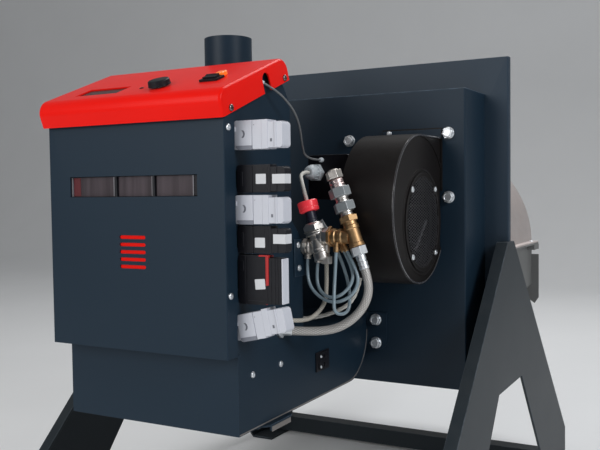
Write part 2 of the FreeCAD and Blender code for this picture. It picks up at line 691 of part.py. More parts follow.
def make_chamber():
    front, end = plate_back, chamber_end
    half_ring = rod((0, front, axis_z), y_axis, arch_r, end - front).cut(
        rod((0, front - 1, axis_z), y_axis, arch_r - chamber_wall, end - front + 2))
    arch = half_ring.common(block(-beyond, beyond, 0, beyond, axis_z, beyond))
    strip = block(arch_r - chamber_wall, arch_r + joint_flange, front, end, axis_z, axis_z + chamber_wall)
    arch = join([arch, strip, mirror_x(strip)])
    export("arch_cover", arch)
    outer = plate_xz(chamber_outline(0), front, end)
    inner_points = [(x, z + 1 if z == axis_z else z) for x, z in chamber_outline(chamber_wall)]
    trough = outer.cut(plate_xz(inner_points, front - 1, end + 1))
    strip = block(arch_r - chamber_wall, arch_r + joint_flange, front, end, axis_z - chamber_wall, axis_z)
    mouth = block(arch_r - 0.5, arch_r + mouth_flange, end - chamber_wall, end, side_low - 26, axis_z - 24)
    mouth = mouth.fuse(plate_xz([(arch_r, side_low), (arch_r + mouth_flange, side_low - 26),
                                 (arch_r + mouth_flange - 8, side_low - 38), (arch_r - 18, side_low - 20)],
                                end - chamber_wall, end))
    lug = block(arch_r - 0.5, arch_r + mouth_flange, end - 40, end, axis_z - chamber_wall - 10, axis_z - chamber_wall)
    half = [strip, mouth, lug]
    trough = join([trough] + half + [mirror_x(s) for s in half])
    export("chamber_trough", trough)


def make_grate():
    inner = chamber_outline(chamber_wall)
    side = Vector(inner[1][0], 0, inner[1][1]), Vector(inner[2][0], 0, inner[2][1])
    def half_at(z):
        t = (z - side[0].z) / (side[1].z - side[0].z)
        return abs(side[0].x + t * (side[1].x - side[0].x))
    top_half = half_at(grate_z + grate_thick) - seat
    low_half = half_at(grate_z) - seat
    plate = plate_xz([(-low_half, grate_z), (low_half, grate_z), (top_half, grate_z + grate_thick),
                      (-top_half, grate_z + grate_thick)], grate_y[0], grate_y[1])
    pitch = (grate_y[1] - grate_y[0]) / (grate_slots + 1)
    for i in range(grate_slots):
        y = grate_y[0] + pitch * (i + 1)
        for x in (-110.0, 0.0, 110.0):
            plate = plate.cut(block(x - 42, x + 42, y - 4, y + 4, grate_z - 1, grate_z + grate_thick + 1))
    export("grate", plate)
    heater = rod((igniter_x, plate_y - 60, igniter_z), y_axis, igniter_r, 215)
    collar = rod((igniter_x, plate_y - 22, igniter_z), y_axis, igniter_r + 5, 22)
    export("igniter", join([heater, collar]))


def make_feed():
    tube = ring((0, auger_y[0], auger_z), y_axis, auger_r, auger_r - auger_wall, auger_y[1] - auger_y[0])
    tube = tube.cut(rod((0, drop_y, auger_z), z_axis, drop_r - drop_wall, 60))
    collar = ring((0, auger_y[0], auger_z), y_axis, auger_r + 4, auger_r - 1, 6)
    feet = block(-30, 30, auger_y[0], auger_y[0] + 6, housing_bottom + sheet, auger_z - auger_r + 2)
    bearing = ring((0, auger_y[0], auger_z), y_axis, auger_r - 1, screw_shaft_r + running, 10)
    export("auger_tube", join([tube, collar, feet, bearing]))
    drop = ring((0, drop_y, auger_z), z_axis, drop_r, drop_r - drop_wall, drop_top - auger_z)
    drop = drop.cut(rod((0, auger_y[0], auger_z), y_axis, auger_r, 300))
    collar = ring((0, drop_y, 0), z_axis, drop_r + 10, drop_r - 0.5, 3)
    bead = ring((0, drop_y, drop_top - hose_seat - 3), z_axis, drop_r + 1.5, drop_r - 0.5, 3)
    export("drop_tube", join([drop, collar, bead]))


def make_auger_screw():
    start, end = auger_y[0] + 12, auger_y[1] - 6
    shaft = rod((0, gear_y[1] - 20, auger_z), y_axis, screw_shaft_r, end - gear_y[1] + 20)
    turns = (end - start) / screw_pitch
    helix = Part.makeHelix(screw_pitch, screw_pitch * turns, screw_shaft_r - 1)
    profile = Part.makePolygon([Vector(screw_shaft_r - 1, 0, 0), Vector(screw_r, 0, 0),
                                Vector(screw_r, 0, screw_blade), Vector(screw_shaft_r - 1, 0, screw_blade),
                                Vector(screw_shaft_r - 1, 0, 0)])
    blade = Part.Wire(helix.Edges).makePipeShell([profile], True, True)
    blade.Placement = Placement(Vector(0, start, auger_z), Rotation(x_axis, -90))
    export("auger_screw", join([shaft, blade]))


def make_gear_motor():
    y0, y1 = gear_y
    box = block(-34, 34, y0, y1, auger_z - 34, auger_z + 30)
    box = box.makeFillet(5, edges_along(box, y_axis, lambda p: True))
    nose = rod((0, y1, auger_z), y_axis, 18, auger_y[0] - y1)
    motor = rod((30, (y0 + y1) / 2 - 5, auger_z - 6), x_axis, motor_r, 66)
    foot = block(-34, 34, y0 + 4, y1 - 4, housing_bottom + sheet, auger_z - 33)
    bore = rod((0, y1 - 21, auger_z), y_axis, screw_shaft_r + running, 60)
    export("gear_motor", join([box, nose, motor, foot]).cut(bore))


def make_fan():
    x0, x1 = fan_x
    back = box_front - 3
    duct_z = outlet_flange_z[0] + 10
    drum = rod((x0, fan_y, fan_z), x_axis, fan_r, x1 - x0)
    duct = block(x0, x1, fan_y, back, duct_z, fan_z + fan_r)
    outer = drum.common(block(x0, x1, 0, back, -beyond, beyond)).fuse(duct).removeSplitter()
    hollow = rod((x0 + fan_sheet, fan_y, fan_z), x_axis, fan_r - fan_sheet, x1 - x0 - 2 * fan_sheet)
    hollow = hollow.common(block(x0, x1, 0, back - fan_sheet, -beyond, beyond))
    hollow = hollow.fuse(block(x0 + fan_sheet, x1 - fan_sheet, fan_y, back + 1, duct_z + fan_sheet,
                               fan_z + fan_r - fan_sheet))
    housing = outer.cut(hollow)
    rim = ring((x1, fan_y, fan_z), x_axis, fan_r, fan_r - 3, 1.5).common(block(x1, x1 + 2, 0, back, -beyond, beyond))
    flange = block(outlet_flange_x[0], outlet_flange_x[1], back, box_front, outlet_flange_z[0], outlet_flange_z[1])
    flange = flange.cut(block(x0 + fan_sheet + 10, x1 - fan_sheet, back - 1, box_front + 1, duct_z + fan_sheet,
                              fan_z + fan_r - fan_sheet))
    housing = join([housing, rim, flange])
    housing = housing.cut(rod((x1 - 5, wheel_y, wheel_z), x_axis, inlet_r, 20))
    housing = housing.cut(rod((x0 - 5, wheel_y, wheel_z), x_axis, 9, 20))
    radial = Vector(0, fan_lead[-1][1] - fan_y, fan_lead[-1][2] - fan_z)
    radial.normalize()
    lead_end = Vector(*fan_lead[-1])
    boss = Part.makeCylinder(5.5, 8.0, lead_end, radial * -1)
    boss = boss.cut(rod((x0, fan_y, fan_z), x_axis, fan_r - 0.5, x1 - x0))
    export("fan_housing", join([housing, boss]))
    band = ring((x1, wheel_y, wheel_z), x_axis, guard_r, inlet_r - 2, guard_thick)
    wire = guard_thick * 0.8
    rings = [ring((x1 + wire / 8, wheel_y, wheel_z), x_axis, r + wire / 2, r - wire / 2, wire)
             for r in (inlet_r / 4, inlet_r / 2, inlet_r * 0.75)]
    spokes = []
    for i in range(4):
        bar = block(-inlet_r, inlet_r, -wire / 2, wire / 2, 0, wire)
        bar.Placement = Placement(Vector(x1 + wire / 8, wheel_y, wheel_z), Rotation(y_axis, 90)).multiply(
            Placement(Vector(0, 0, 0), Rotation(z_axis, 45 * i)))
        spokes.append(bar)
    export("fan_guard", join([band] + rings + spokes))


def make_impeller():
    x_back = fan_x[0] + 12
    centre = (x_back, wheel_y, wheel_z)
    disc = rod(centre, x_axis, wheel_r, 2)
    top = ring((x_back + wheel_w, wheel_y, wheel_z), x_axis, wheel_r, wheel_inner_r, 2)
    hub = rod((x_back - 6, wheel_y, wheel_z), x_axis, 9, 20)
    pieces = [disc, top, hub]
    mid = (wheel_r + wheel_inner_r) / 2
    for i in range(blades):
        blade = ring((0, 0, 0), z_axis, 9.0, 7.6, wheel_w).common(block(0, 20, -6.5, 6.5, -1, wheel_w + 1))
        blade.translate(Vector(mid - 8, 0, 0))
        blade.Placement = Placement(Vector(x_back + 1, wheel_y, wheel_z), Rotation(y_axis, 90)).multiply(
            Placement(Vector(0, 0, 0), Rotation(z_axis, i * 360.0 / blades))).multiply(blade.Placement)
        pieces.append(blade)
    wheel = join(pieces)
    wheel = wheel.cut(rod((x_back - 10, wheel_y, wheel_z), x_axis, 4 + running, 16))
    export("fan_impeller", wheel)
    x0 = fan_x[0]
    motor = rod((x0 - 26, wheel_y, wheel_z), x_axis, fan_motor_r, 26)
    shaft = rod((x0 - 1, wheel_y, wheel_z), x_axis, 4, x_back + 5 - x0)
    cap = rod((x0 - 30, wheel_y, wheel_z), x_axis, fan_motor_r - 5, 5)
    export("fan_motor", join([motor, shaft, cap]))


def make_terminal_box():
    x0, x1 = terminal_x, fan_x[0]
    body = block(x0, x1 - 8, 230, 272, 159, 215)
    body = body.makeFillet(2.5, edges_along(body, y_axis, lambda p: True))
    foot = block(x1 - 10, x1, 236, 266, 168, 206)
    seated = rod((x1 - 12, fan_y, fan_z), x_axis, fan_r - 2, 20)
    foot = foot.common(seated.fuse(block(x1 - 10, x1 - 6, 0, beyond, 0, beyond)))
    export("terminal_box", join([body, foot]))
    gx, gy, gz = sensor_cable[-1]
    nut = hexagon((gx, 224, gz), y_axis, 20, 6)
    cap = rod((gx, gy + 3, gz), y_axis, 9.0, 224 - gy - 3)
    nose = Part.makeCone(6.0, 9.0, 3, Vector(gx, gy, gz), y_axis)
    lx, ly, lz = lid_cable[-1]
    small = rod((lx, ly, lz), y_axis, 3.0, 230 - ly)
    start = Vector(*lid_cable[0])
    inward = start - Vector(*lid_cable[1])
    grommet = Part.makeCylinder(2.2, 30, start, inward)
    grommet = grommet.common(block(half_cabinet, half_lid - lid_sheet - seat, 0, 200, 0, 400))
    fx, fy, fz = fan_lead[0]
    bush = rod((fx, fy - lead_bush, fz), y_axis, 4.5, lead_bush)
    export("cable_gland", join([nut, cap, nose]), small, grommet, bush)


def end_fitting(end, before, radius, length):
    """A round fitting that a tube's end butts against, in line with its last run."""
    end = Vector(*end)
    return Part.makeCylinder(radius, length, end, end - Vector(*before))


def make_valves():
    body = [Part.makeCylinder(9.5, 33.0, cross_at - sensor_dir * 17, sensor_dir)]
    hx, hy, hz = thin_hose[0]
    body.append(rod((hx, hy, hz + 8), z_axis, 4.4, 14))
    body.append(hexagon((hx, hy, hz), z_axis, 12, 9))
    body.append(hexagon(cross_at + sensor_dir * 16, sensor_dir, 25, 12))
    left_x = half_cabinet + bracket_thick
    body.append(rod((left_x, valve_y, 104.0), x_axis, 8.0, cross_at.x - left_x))
    body.append(hexagon((left_x, valve_y, 104.0), x_axis, 17, 6))
    body.append(rod((cross_at.x, valve_y, branch_z), x_axis, 8.0, 153.0 - cross_at.x))
    body.append(hexagon((146.0, valve_y, branch_z), x_axis, 19, 7))
    for route, radius in ((outer_tube, 4.7), (inner_tube, 4.5)):
        body.append(end_fitting(route[0], route[1], radius, 14))
    export("valve_body", join(body))
    stem = Part.makeCylinder(6.5, 14.0, cross_at + sensor_dir * 28, sensor_dir)
    cap = Part.makeCylinder(12.0, 13.0, cross_at + sensor_dir * 42, sensor_dir)
    cap = cap.makeChamfer(1.2, [cap.Edges[0], cap.Edges[2]])
    export("pressure_sensor", join([stem, cap]))
    brass = [Part.makeCylinder(9.0, 38.0, tee_at, tee_dir), hexagon(tee_at + tee_dir * 30, tee_dir, 20, 7)]
    brass.append(rod((153.0, valve_y, branch_z), x_axis, 9.5, 27))
    brass.append(hexagon((153.0, valve_y, branch_z), x_axis, 21, 4))
    for end, before in ((outer_tube[-1], outer_tube[-2]), (inner_tube[-1], inner_tube[-2]),
                        (middle_tube[0], middle_tube[1]), (middle_tube[-1], middle_tube[-2])):
        brass.append(end_fitting(end, before, air_tube_d * 0.8, 12))
    export("brass_tee", join(brass))
    stack = [Part.makeCylinder(7.5, 6.0, tee_at + tee_dir * 38, tee_dir),
             hexagon(tee_at + tee_dir * 43, tee_dir, 22, 11),
             Part.makeCylinder(8.0, 8.0, tee_at + tee_dir * 53, tee_dir),
             hexagon(tee_at + tee_dir * 60, tee_dir, 22, 12),
             Part.makeCylinder(8.5, 12.0, tee_at + tee_dir * 71, tee_dir),
             hexagon(tee_at + tee_dir * 82, tee_dir, 17, 12)]
    export("check_valve", join(stack))
    nut = [hexagon(tee_at - tee_dir * 10, tee_dir, 17, 10),
           Part.makeCylinder(5.8, 17.4, tee_at - tee_dir * 26.8, tee_dir)]
    nipples = []
    outside = block(half_cabinet, 300, 0, 300, -50, 100)
    for route, r in ((big_hose, 5.8), (thin_hose, 3.2)):
        nipple = end_fitting(route[-1], route[-2], r, 30).common(outside)
        x, y, z = route[-1]
        reach = (x - half_cabinet) / (route[-2][0] - x)
        foot = (half_cabinet, y + (y - route[-2][1]) * reach, z + (z - route[-2][2]) * reach)
        nipples.append(join([nipple, hexagon(foot, x_axis, 2 * r + 4, 4)]))
    export("hose_fittings", join(nut), nipples[0], nipples[1])
    plate = block(half_cabinet, half_cabinet + bracket_thick, 144, valve_y + 12, 70, 114)
    plate = plate.makeFillet(5, edges_along(plate, x_axis, lambda p: p.y > valve_y))
    export("valve_bracket", plate)


def cord(name, points, diameter):
    """A cord's tube: straight runs joined by tangent arcs. Adds it to its node and prints the arcs' radii."""
    points = [Vector(*p) for p in points]
    edges = []
    radii = []
    start = points[0]
    for before, corner, after in zip(points, points[1:], points[2:]):
        inward = (before - corner)
        outward = (after - corner)
        run = min(inward.Length, outward.Length)
        inward.normalize()
        outward.normalize()
        turn = math.pi - inward.getAngle(outward)
        trim = 0.45 * run
        radius = trim / math.tan(turn / 2)
        radii.append(radius)
        first = corner + inward * trim
        last = corner + outward * trim
        bisector = inward + outward
        bisector.normalize()
        centre = corner + bisector * (radius / math.cos(turn / 2))
        middle = centre - bisector * radius
        edges.append(Part.LineSegment(start, first).toShape())
        edges.append(Part.Arc(first, middle, last).toShape())
        start = last
    edges.append(Part.LineSegment(start, points[-1]).toShape())
    path = Part.Wire(edges)
    direction = points[1] - points[0]
    circle = Part.Wire([Part.makeCircle(diameter / 2, points[0], direction)])
    tube = path.makePipeShell([circle], True, True)
    share = tube.Volume / (math.pi * diameter ** 2 / 4 * path.Length)
    print("%s: length %.1f, radii %s, volume share %.3f"
          % (name, path.Length, ", ".join("%.0f" % r for r in radii), share))
    export(name, *parts.get(name, []), tube)


def make_cords():
    cord("big_air_hose", big_hose, big_hose_d)
    cord("thin_air_hose", thin_hose, thin_hose_d)
    cord("outer_air_tube", outer_tube, air_tube_d)
    cord("inner_air_tube", inner_tube, air_tube_d)
    cord("inner_air_tube", middle_tube, air_tube_d)
    cord("sensor_cable", sensor_cable, sensor_cable_d)
    cord("lid_cable", lid_cable, lid_cable_d)
    cord("fan_lead", fan_lead, fan_lead_d)


def connector_socket(y0, z, height, length):
    """A panel socket: a rim on the cabinet side and a body with chamfered edges."""
    y1 = connector_y + connector_depth
    x0 = half_cabinet
    rim = block(x0, x0 + 2.5, y0 - 1.5, y1 + 1.5, z - 1, z + height + 1)
    body = block(x0, x0 + length, y0, y1, z, z + height)
    body = body.makeChamfer(2.0, edges_along(body, x_axis, lambda p: True))
    return join([rim, body])


def connector_plug(y0, z, height, start, length):
    """A plug: a body a little lower than its socket, with a ridge and a rounded end that grips the cable."""
    y0, y1 = y0 + 0.5, connector_y + connector_depth - 0.5
    z0, z1 = z + 1, z + height - 2.5
    body = block(start, start + length, y0, y1, z0, z1)
    body = body.makeFillet(3.5, edges_along(body, y_axis, lambda p: p.x > start + 1))
    ridge = block(start + length * 0.28, start + length * 0.28 + 2, y0 - 0.8, y1 + 0.8, z0, z1)
    return join([body, ridge])


def make_connectors():
    sockets = {"white": [], "black": []}
    number = 0
    for kind, z, height, first, second, tilt in connector_rows:
        number += 1
        y0 = connector_y if kind == "white" else connector_y + black_set_back
        socket = connector_socket(y0, z, height, first)
        start = half_cabinet + first
        if kind == "power":
            gasket = block(start, start + gasket_seam, y0 - 0.5, connector_y + connector_depth + 0.5,
                           z + 0.5, z + height - 0.5)
            export("plug_gasket", gasket)
            start = start + gasket_seam
        plug = connector_plug(y0, z, height, start, second)
        if tilt:
            turn = Placement(Vector(0, 0, 0), Rotation(y_axis, -tilt),
                             Vector(half_cabinet + 4, connector_y, z + height / 2))
            socket = tilted_socket(z, height, first, turn)
            plug.Placement = turn.multiply(plug.Placement)
        sockets["white" if kind == "white" else "black"].append(socket)
        export("plug_%d" % number, plug)
    export("white_sockets", *sockets["white"])
    export("black_sockets", *sockets["black"])


def tilted_socket(z, height, length, turn):
    """The lowest socket: its rim lies flat on the cabinet and its body points a little up."""
    y0, y1 = connector_y, connector_y + connector_depth
    rim = block(half_cabinet, half_cabinet + 2.5, y0 - 1.5, y1 + 1.5, z - 1, z + height + 1)
    body = block(half_cabinet - 6, half_cabinet + length, y0, y1, z, z + height)
    body = body.makeChamfer(2.0, edges_along(body, x_axis, lambda p: True))
    body.Placement = turn.multiply(body.Placement)
    body = body.cut(block(half_cabinet - 30, half_cabinet, y0 - 9, y1 + 9, z - 30, z + height + 30))
    return join([rim, body])


def make_control_board():
    board = block(-85, 85, 122, 123.6, 30, 200)
    posts = [rod((x, 122, z), y_axis, 3, cabinet_depth - sheet - 122) for x in (-78, 78) for z in (38, 192)]
    relays = [block(-75 + 34 * i, -49 + 34 * i, 104, 122, 150, 176) for i in range(4)]
    terminals = block(-75, 75, 110, 122, 40, 56)
    capacitor = rod((-50, 96, 100), y_axis, 12, 26)
    chip = block(0, 40, 118, 122, 85, 120)
    export("control_board", join([board, terminals, capacitor, chip] + posts + relays))


def stand_outline(inset, low):
    """The stand side's outer outline as (Y, Z), set in by a distance, down to a low Z."""
    slope = (stand_top - stand_knee) / (stand_foot - stand_apex)
    shift = inset * math.hypot(1, slope) / slope
    half_top = stand_apex - shift + inset / slope
    knee = stand_knee + inset * slope - shift * slope
    half_foot = stand_foot - inset
    left = [(stand_mid - half_foot, low), (stand_mid - half_foot, knee), (stand_mid - half_top, stand_top - inset)]
    right = [(2 * stand_mid - y, z) for y, z in reversed(left)]
    return left + right


def make_stand():
    inner = [(stand_mid + stand_foot_inner, floor_z), (stand_mid + stand_arch_half, stand_arch),
             (stand_mid - stand_arch_half, stand_arch), (stand_mid - stand_foot_inner, floor_z)]
    flat = plate_yz(stand_outline(0, floor_z) + inner, half_plate, half_plate + stand_sheet)
    lip = plate_yz(stand_outline(0, floor_z), half_plate - stand_lip, half_plate)
    lip = lip.cut(plate_yz(stand_outline(stand_sheet, floor_z - 1), half_plate - stand_lip - 1, half_plate + 1))
    clear = plate_y - 2, plate_y + plate_return + 2
    lip = lip.cut(block(0, half_plate + 1, clear[0], clear[1], floor_z, stand_top + 1))
    feet = []
    for y0, y1 in ((stand_mid - stand_foot, stand_mid - stand_foot_inner),
                   (stand_mid + stand_foot_inner, stand_mid + stand_foot)):
        feet.append(block(half_plate - foot_flange, half_plate + stand_sheet, y0, y1, floor_z, floor_z + stand_sheet))
    side = join([flat, lip] + feet)
    export("stand_right", side)
    export("stand_left", mirror_x(side))
    bars = []
    for y in (stand_mid - bar_y, stand_mid + bar_y):
        z0 = floor_z + stand_sheet
        bar = block(-half_plate, half_plate, y - bar_size / 2, y + bar_size / 2, z0, z0 + bar_size)
        wall = stand_sheet / 2
        hole = block(-half_plate, half_plate, y - bar_size / 2 + wall, y + bar_size / 2 - wall,
                     z0 + wall, z0 + bar_size - wall)
        bars.append(bar.cut(hole))
    export("stand_bars", *bars)


def pan_head(at, axis):
    at = Vector(*at)
    axis = Vector(*axis)
    rim = Part.makeCylinder(m5_head_r, m5_head_h / 2, at, axis)
    dome = Part.makeCone(m5_head_r, m5_head_r * 0.6, m5_head_h / 2, at + axis * (m5_head_h / 2), axis)
    return join([rim, dome])


def bolt(at, axis):
    at = Vector(*at)
    axis = Vector(*axis)
    washer = Part.makeCylinder(m8_washer_r, m8_washer_h, at, axis)
    return join([washer, hexagon(at + axis * m8_washer_h, axis, m8_flats, m8_head_h)])


def make_fasteners():
    screws = []
    for side in (-1, 1):
        out = (side, 0, 0)
        for y, z in cover_screws:
            screws.append(pan_head((side * half_cover, y, z), out))
        for y, z in lid_screws():
            screws.append(pan_head((side * half_lid, y, z), out))
        for y, z in housing_screws:
            screws.append(pan_head((side * half_housing, y, z), out))
    for y, z in bracket_screws:
        screws.append(pan_head((half_cabinet + bracket_thick, y, z), (1, 0, 0)))
    for sy in (-1, 1):
        for sz in (-1, 1):
            reach = guard_screw_r / math.sqrt(2)
            screws.append(pan_head((fan_x[1] + guard_thick, wheel_y + sy * reach, wheel_z + sz * reach), (1, 0, 0)))
    screws.append(pan_head((outlet_screw[0], box_front - box_sheet, outlet_screw[1]), (0, -1, 0)))
    for side in (-1, 1):
        for y in joint_screw_y:
            screws.append(pan_head((side * (arch_r + joint_flange - 6), y, axis_z + chamber_wall), (0, 0, 1)))
    export("panel_screws", *screws)
    bolts = []
    for x, z in box_bolts:
        bolts.append(bolt((x, box_front, z), (0, -1, 0)))
    for side in (-1, 1):
        for z in housing_bolt_z:
            bolts.append(bolt((side * housing_bolt_x, box_front - box_sheet, z), (0, -1, 0)))
    export("flange_bolts", *bolts)


def main():
    for make in (make_front_cover, make_window, make_vent_backing, make_cabinet, make_lid, make_controls,
                 make_rocker, make_lower_housing, make_clean_out_slide, make_power_inlet, make_flange_box,
                 make_flange_plate, make_gasket, make_chamber, make_grate, make_feed, make_auger_screw,
                 make_gear_motor, make_fan, make_impeller, make_terminal_box, make_valves, make_cords,
                 make_connectors, make_control_board, make_stand, make_fasteners):
        make()
    lid_front = lid_y - (lid_depth - lid_front_r) * sin_lid - lid_front_r * (1 - cos_lid)
    shift = Vector(0, -(lid_front + chamber_end) / 2, -floor_z)
    os.makedirs("parts", exist_ok=True)
    for name, shapes in parts.items():
        solids = []
        for shape in shapes:
            solids += shape.Solids
        for solid in solids:
            if not solid.isValid() or solid.Volume < 0.5:
                print("check", name, solid.isValid(), round(solid.Volume, 2))
        body = solids[0] if len(solids) == 1 else Part.makeCompound(solids)
        body = body.copy()
        body.translate(shift)
        body.exportStep("parts/%s.step" % name)
        if len(solids) != len(shapes):
            print("note", name, "solids", len(solids), "shapes", len(shapes))
    print(len(parts), "nodes, shift", shift)


main()
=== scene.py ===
import json
import math
import bmesh
import bpy
from mathutils import Matrix, Vector


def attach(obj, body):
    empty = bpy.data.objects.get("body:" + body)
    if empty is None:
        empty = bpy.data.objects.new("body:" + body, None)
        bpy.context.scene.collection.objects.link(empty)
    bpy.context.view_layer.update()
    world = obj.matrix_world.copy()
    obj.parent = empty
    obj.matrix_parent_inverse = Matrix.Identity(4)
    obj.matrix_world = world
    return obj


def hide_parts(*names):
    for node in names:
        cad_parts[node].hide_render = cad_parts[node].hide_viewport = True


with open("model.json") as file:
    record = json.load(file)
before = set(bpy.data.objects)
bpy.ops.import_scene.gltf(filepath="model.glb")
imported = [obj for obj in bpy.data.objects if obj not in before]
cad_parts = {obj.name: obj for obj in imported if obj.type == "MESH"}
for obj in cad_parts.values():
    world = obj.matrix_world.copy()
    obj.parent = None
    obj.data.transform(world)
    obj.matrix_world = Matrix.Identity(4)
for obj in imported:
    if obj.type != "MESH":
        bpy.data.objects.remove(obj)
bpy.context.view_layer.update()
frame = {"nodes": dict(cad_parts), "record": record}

# Pellet burner on its A-frame stand. Detailed pieces are drawn in millimetres, as the part's solids are,
# and then set into the row frame: metres, Z up, front cover towards -Y, fan side towards +X.
drawingOrigin = (0.0, -0.481762, 0.330)
toRow = Matrix.Translation(drawingOrigin) @ Matrix.Scale(0.001, 4)


def putInScene(name, data):
    item = bpy.data.objects.new(name, data)
    bpy.context.scene.collection.objects.link(item)
    return item


def feed(tree, socket, value):
    # links another node's output, or sets a plain value
    if isinstance(value, bpy.types.NodeSocket):
        tree.links.new(value, socket)
    else:
        socket.default_value = value


def addNode(tree, kind, inputs=None, **settings):
    node = tree.nodes.new(kind)
    for key, value in settings.items():
        setattr(node, key, value)
    for key, value in (inputs or {}).items():
        feed(tree, node.inputs[key], value)
    return node


def mathNode(tree, operation, first, second=0.0, clamp=False):
    node = addNode(tree, "ShaderNodeMath", {0: first, 1: second}, operation=operation, use_clamp=clamp)
    return node.outputs[0]


def ramp(tree, value, fromLow, fromHigh, toLow=0.0, toHigh=1.0):
    return addNode(tree, "ShaderNodeMapRange", {"Value": value, "From Min": fromLow, "From Max": fromHigh,
                                                "To Min": toLow, "To Max": toHigh}).outputs[0]


def noiseNode(tree, vector, scale, detail, rough):
    return addNode(tree, "ShaderNodeTexNoise", {"Vector": vector, "Scale": scale, "Detail": detail,
                                                "Roughness": rough}).outputs["Fac"]


def stretchedBy(tree, vector, stretch):
    node = addNode(tree, "ShaderNodeVectorMath", {0: vector, 1: stretch}, operation="MULTIPLY")
    return node.outputs[0]


def newGroup(name, inputs, outputs, kindOfTree="ShaderNodeTree"):
    tree = bpy.data.node_groups.new(name, kindOfTree)
    for label, kind, value in inputs:
        socket = tree.interface.new_socket(label, in_out="INPUT", socket_type="NodeSocket" + kind)
        if value is not None:
            socket.default_value = value
    for label, kind in outputs:
        tree.interface.new_socket(label, in_out="OUTPUT", socket_type="NodeSocket" + kind)
    return tree, tree.nodes.new("NodeGroupInput").outputs, tree.nodes.new("NodeGroupOutput").inputs


def useGroup(tree, group, **values):
    node = tree.nodes.new("ShaderNodeGroup")
    node.node_tree = group
    for key, value in values.items():
        feed(tree, node.inputs[key], value)
    return node.outputs


def makeGrainGroup():
    # fine grain as a height for bump, slow patches as a shade for colour and roughness
    tree, given, result = newGroup("surfaceGrain", [("Vector", "Vector", None), ("Fine", "Float", 900.0),
                                                    ("Broad", "Float", 6.0)],
                                   [("Height", "Float"), ("Shade", "Float")])
    tree.links.new(noiseNode(tree, given["Vector"], given["Fine"], 2.0, 0.55), result["Height"])
    tree.links.new(ramp(tree, noiseNode(tree, given["Vector"], given["Broad"], 3.0, 0.5), 0.25, 0.75),
                   result["Shade"])
    return tree


def makeDustGroup():
    # 1 where dust lies: on faces that look up, in soft patches
    tree, given, result = newGroup("dustOnTop", [("Vector", "Vector", None), ("Amount", "Float", 0.3),
                                                 ("Patch", "Float", 14.0)], [("Mask", "Float")])
    normal = addNode(tree, "ShaderNodeNewGeometry").outputs["Normal"]
    up = addNode(tree, "ShaderNodeSeparateXYZ", {0: normal}).outputs["Z"]
    patch = ramp(tree, noiseNode(tree, given["Vector"], given["Patch"], 6.0, 0.7), 0.38, 0.72)
    mask = mathNode(tree, "MULTIPLY", ramp(tree, up, 0.3, 0.95), patch)
    tree.links.new(mathNode(tree, "MULTIPLY", mask, given["Amount"], True), result["Mask"])
    return tree


def makeWearAndHighlightGroup():
    # the rounded edges carry the attribute edgeMask; noise breaks the line up; the lighter edge colour is a
    # little wear and mostly a painted highlight where the edges catch light
    tree, given, result = newGroup("edgeWearAndHighlight", [("Vector", "Vector", None), ("Amount", "Float", 0.5),
                                                ("Scale", "Float", 60.0)], [("Mask", "Float")])
    edge = addNode(tree, "ShaderNodeAttribute", attribute_name="edgeMask").outputs["Fac"]
    broken = ramp(tree, noiseNode(tree, given["Vector"], given["Scale"], 5.0, 0.65), 0.40, 0.66, 0.25, 1.0)
    mask = mathNode(tree, "MULTIPLY", edge, broken)
    tree.links.new(mathNode(tree, "MULTIPLY", mask, given["Amount"], True), result["Mask"])
    return tree


def makeBrushedGroup():
    # scratches drawn out along one direction: Stretch is small along the brushing
    tree, given, result = newGroup("brushedLines", [("Vector", "Vector", None),
                                                    ("Stretch", "Vector", (1.0, 1.0, 1.0)),
                                                    ("Scale", "Float", 400.0)],
                                   [("Height", "Float"), ("Shade", "Float")])
    drawn = stretchedBy(tree, given["Vector"], given["Stretch"])
    tree.links.new(noiseNode(tree, drawn, given["Scale"], 5.0, 0.7), result["Height"])
    tree.links.new(noiseNode(tree, given["Vector"], 9.0, 5.0, 0.65), result["Shade"])
    return tree


def makeSootGroup():
    # 1 on faces that look at the chamber's axis, thicker towards the fire
    tree, given, result = newGroup("chamberSoot", [("Vector", "Vector", None), ("Axis Height", "Float", 0.39),
                                                   ("Amount", "Float", 0.9)], [("Mask", "Float")])
    spot = addNode(tree, "ShaderNodeSeparateXYZ", {0: given["Vector"]}).outputs
    normal = addNode(tree, "ShaderNodeNewGeometry").outputs["Normal"]
    above = mathNode(tree, "SUBTRACT", spot["Z"], given["Axis Height"])
    away = addNode(tree, "ShaderNodeCombineXYZ", {0: spot["X"], 2: above}).outputs[0]
    facing = addNode(tree, "ShaderNodeVectorMath", {0: normal, 1: away}, operation="DOT_PRODUCT")
    inside = ramp(tree, facing.outputs["Value"], -0.02, -0.05)
    patch = ramp(tree, noiseNode(tree, given["Vector"], 11.0, 6.0, 0.7), 0.3, 0.6, 0.55, 1.0)
    mask = mathNode(tree, "MULTIPLY", inside, patch)
    tree.links.new(mathNode(tree, "MULTIPLY", mask, given["Amount"], True), result["Mask"])
    return tree


def makeBraidGroup():
    # two families of strands that cross round a hose; the vector is metres along and turns around
    tree, given, result = newGroup("hoseBraid", [("Vector", "Vector", None), ("Pitch", "Float", 0.008),
                                                 ("Strands", "Float", 10.0)],
                                   [("Height", "Float"), ("Shade", "Float")])
    spot = addNode(tree, "ShaderNodeSeparateXYZ", {0: given["Vector"]}).outputs
    lengthwise = mathNode(tree, "DIVIDE", spot["X"], given["Pitch"])
    around = mathNode(tree, "MULTIPLY", spot["Y"], given["Strands"])
    waves = []
    for operation in ("ADD", "SUBTRACT"):
        turned = mathNode(tree, "MULTIPLY", mathNode(tree, operation, lengthwise, around), math.pi)
        waves.append(mathNode(tree, "ABSOLUTE", mathNode(tree, "SINE", turned)))
    height = mathNode(tree, "MAXIMUM", waves[0], waves[1])
    tree.links.new(height, result["Height"])
    tree.links.new(ramp(tree, mathNode(tree, "MULTIPLY", waves[0], waves[1]), 0.0, 0.9), result["Shade"])
    return tree


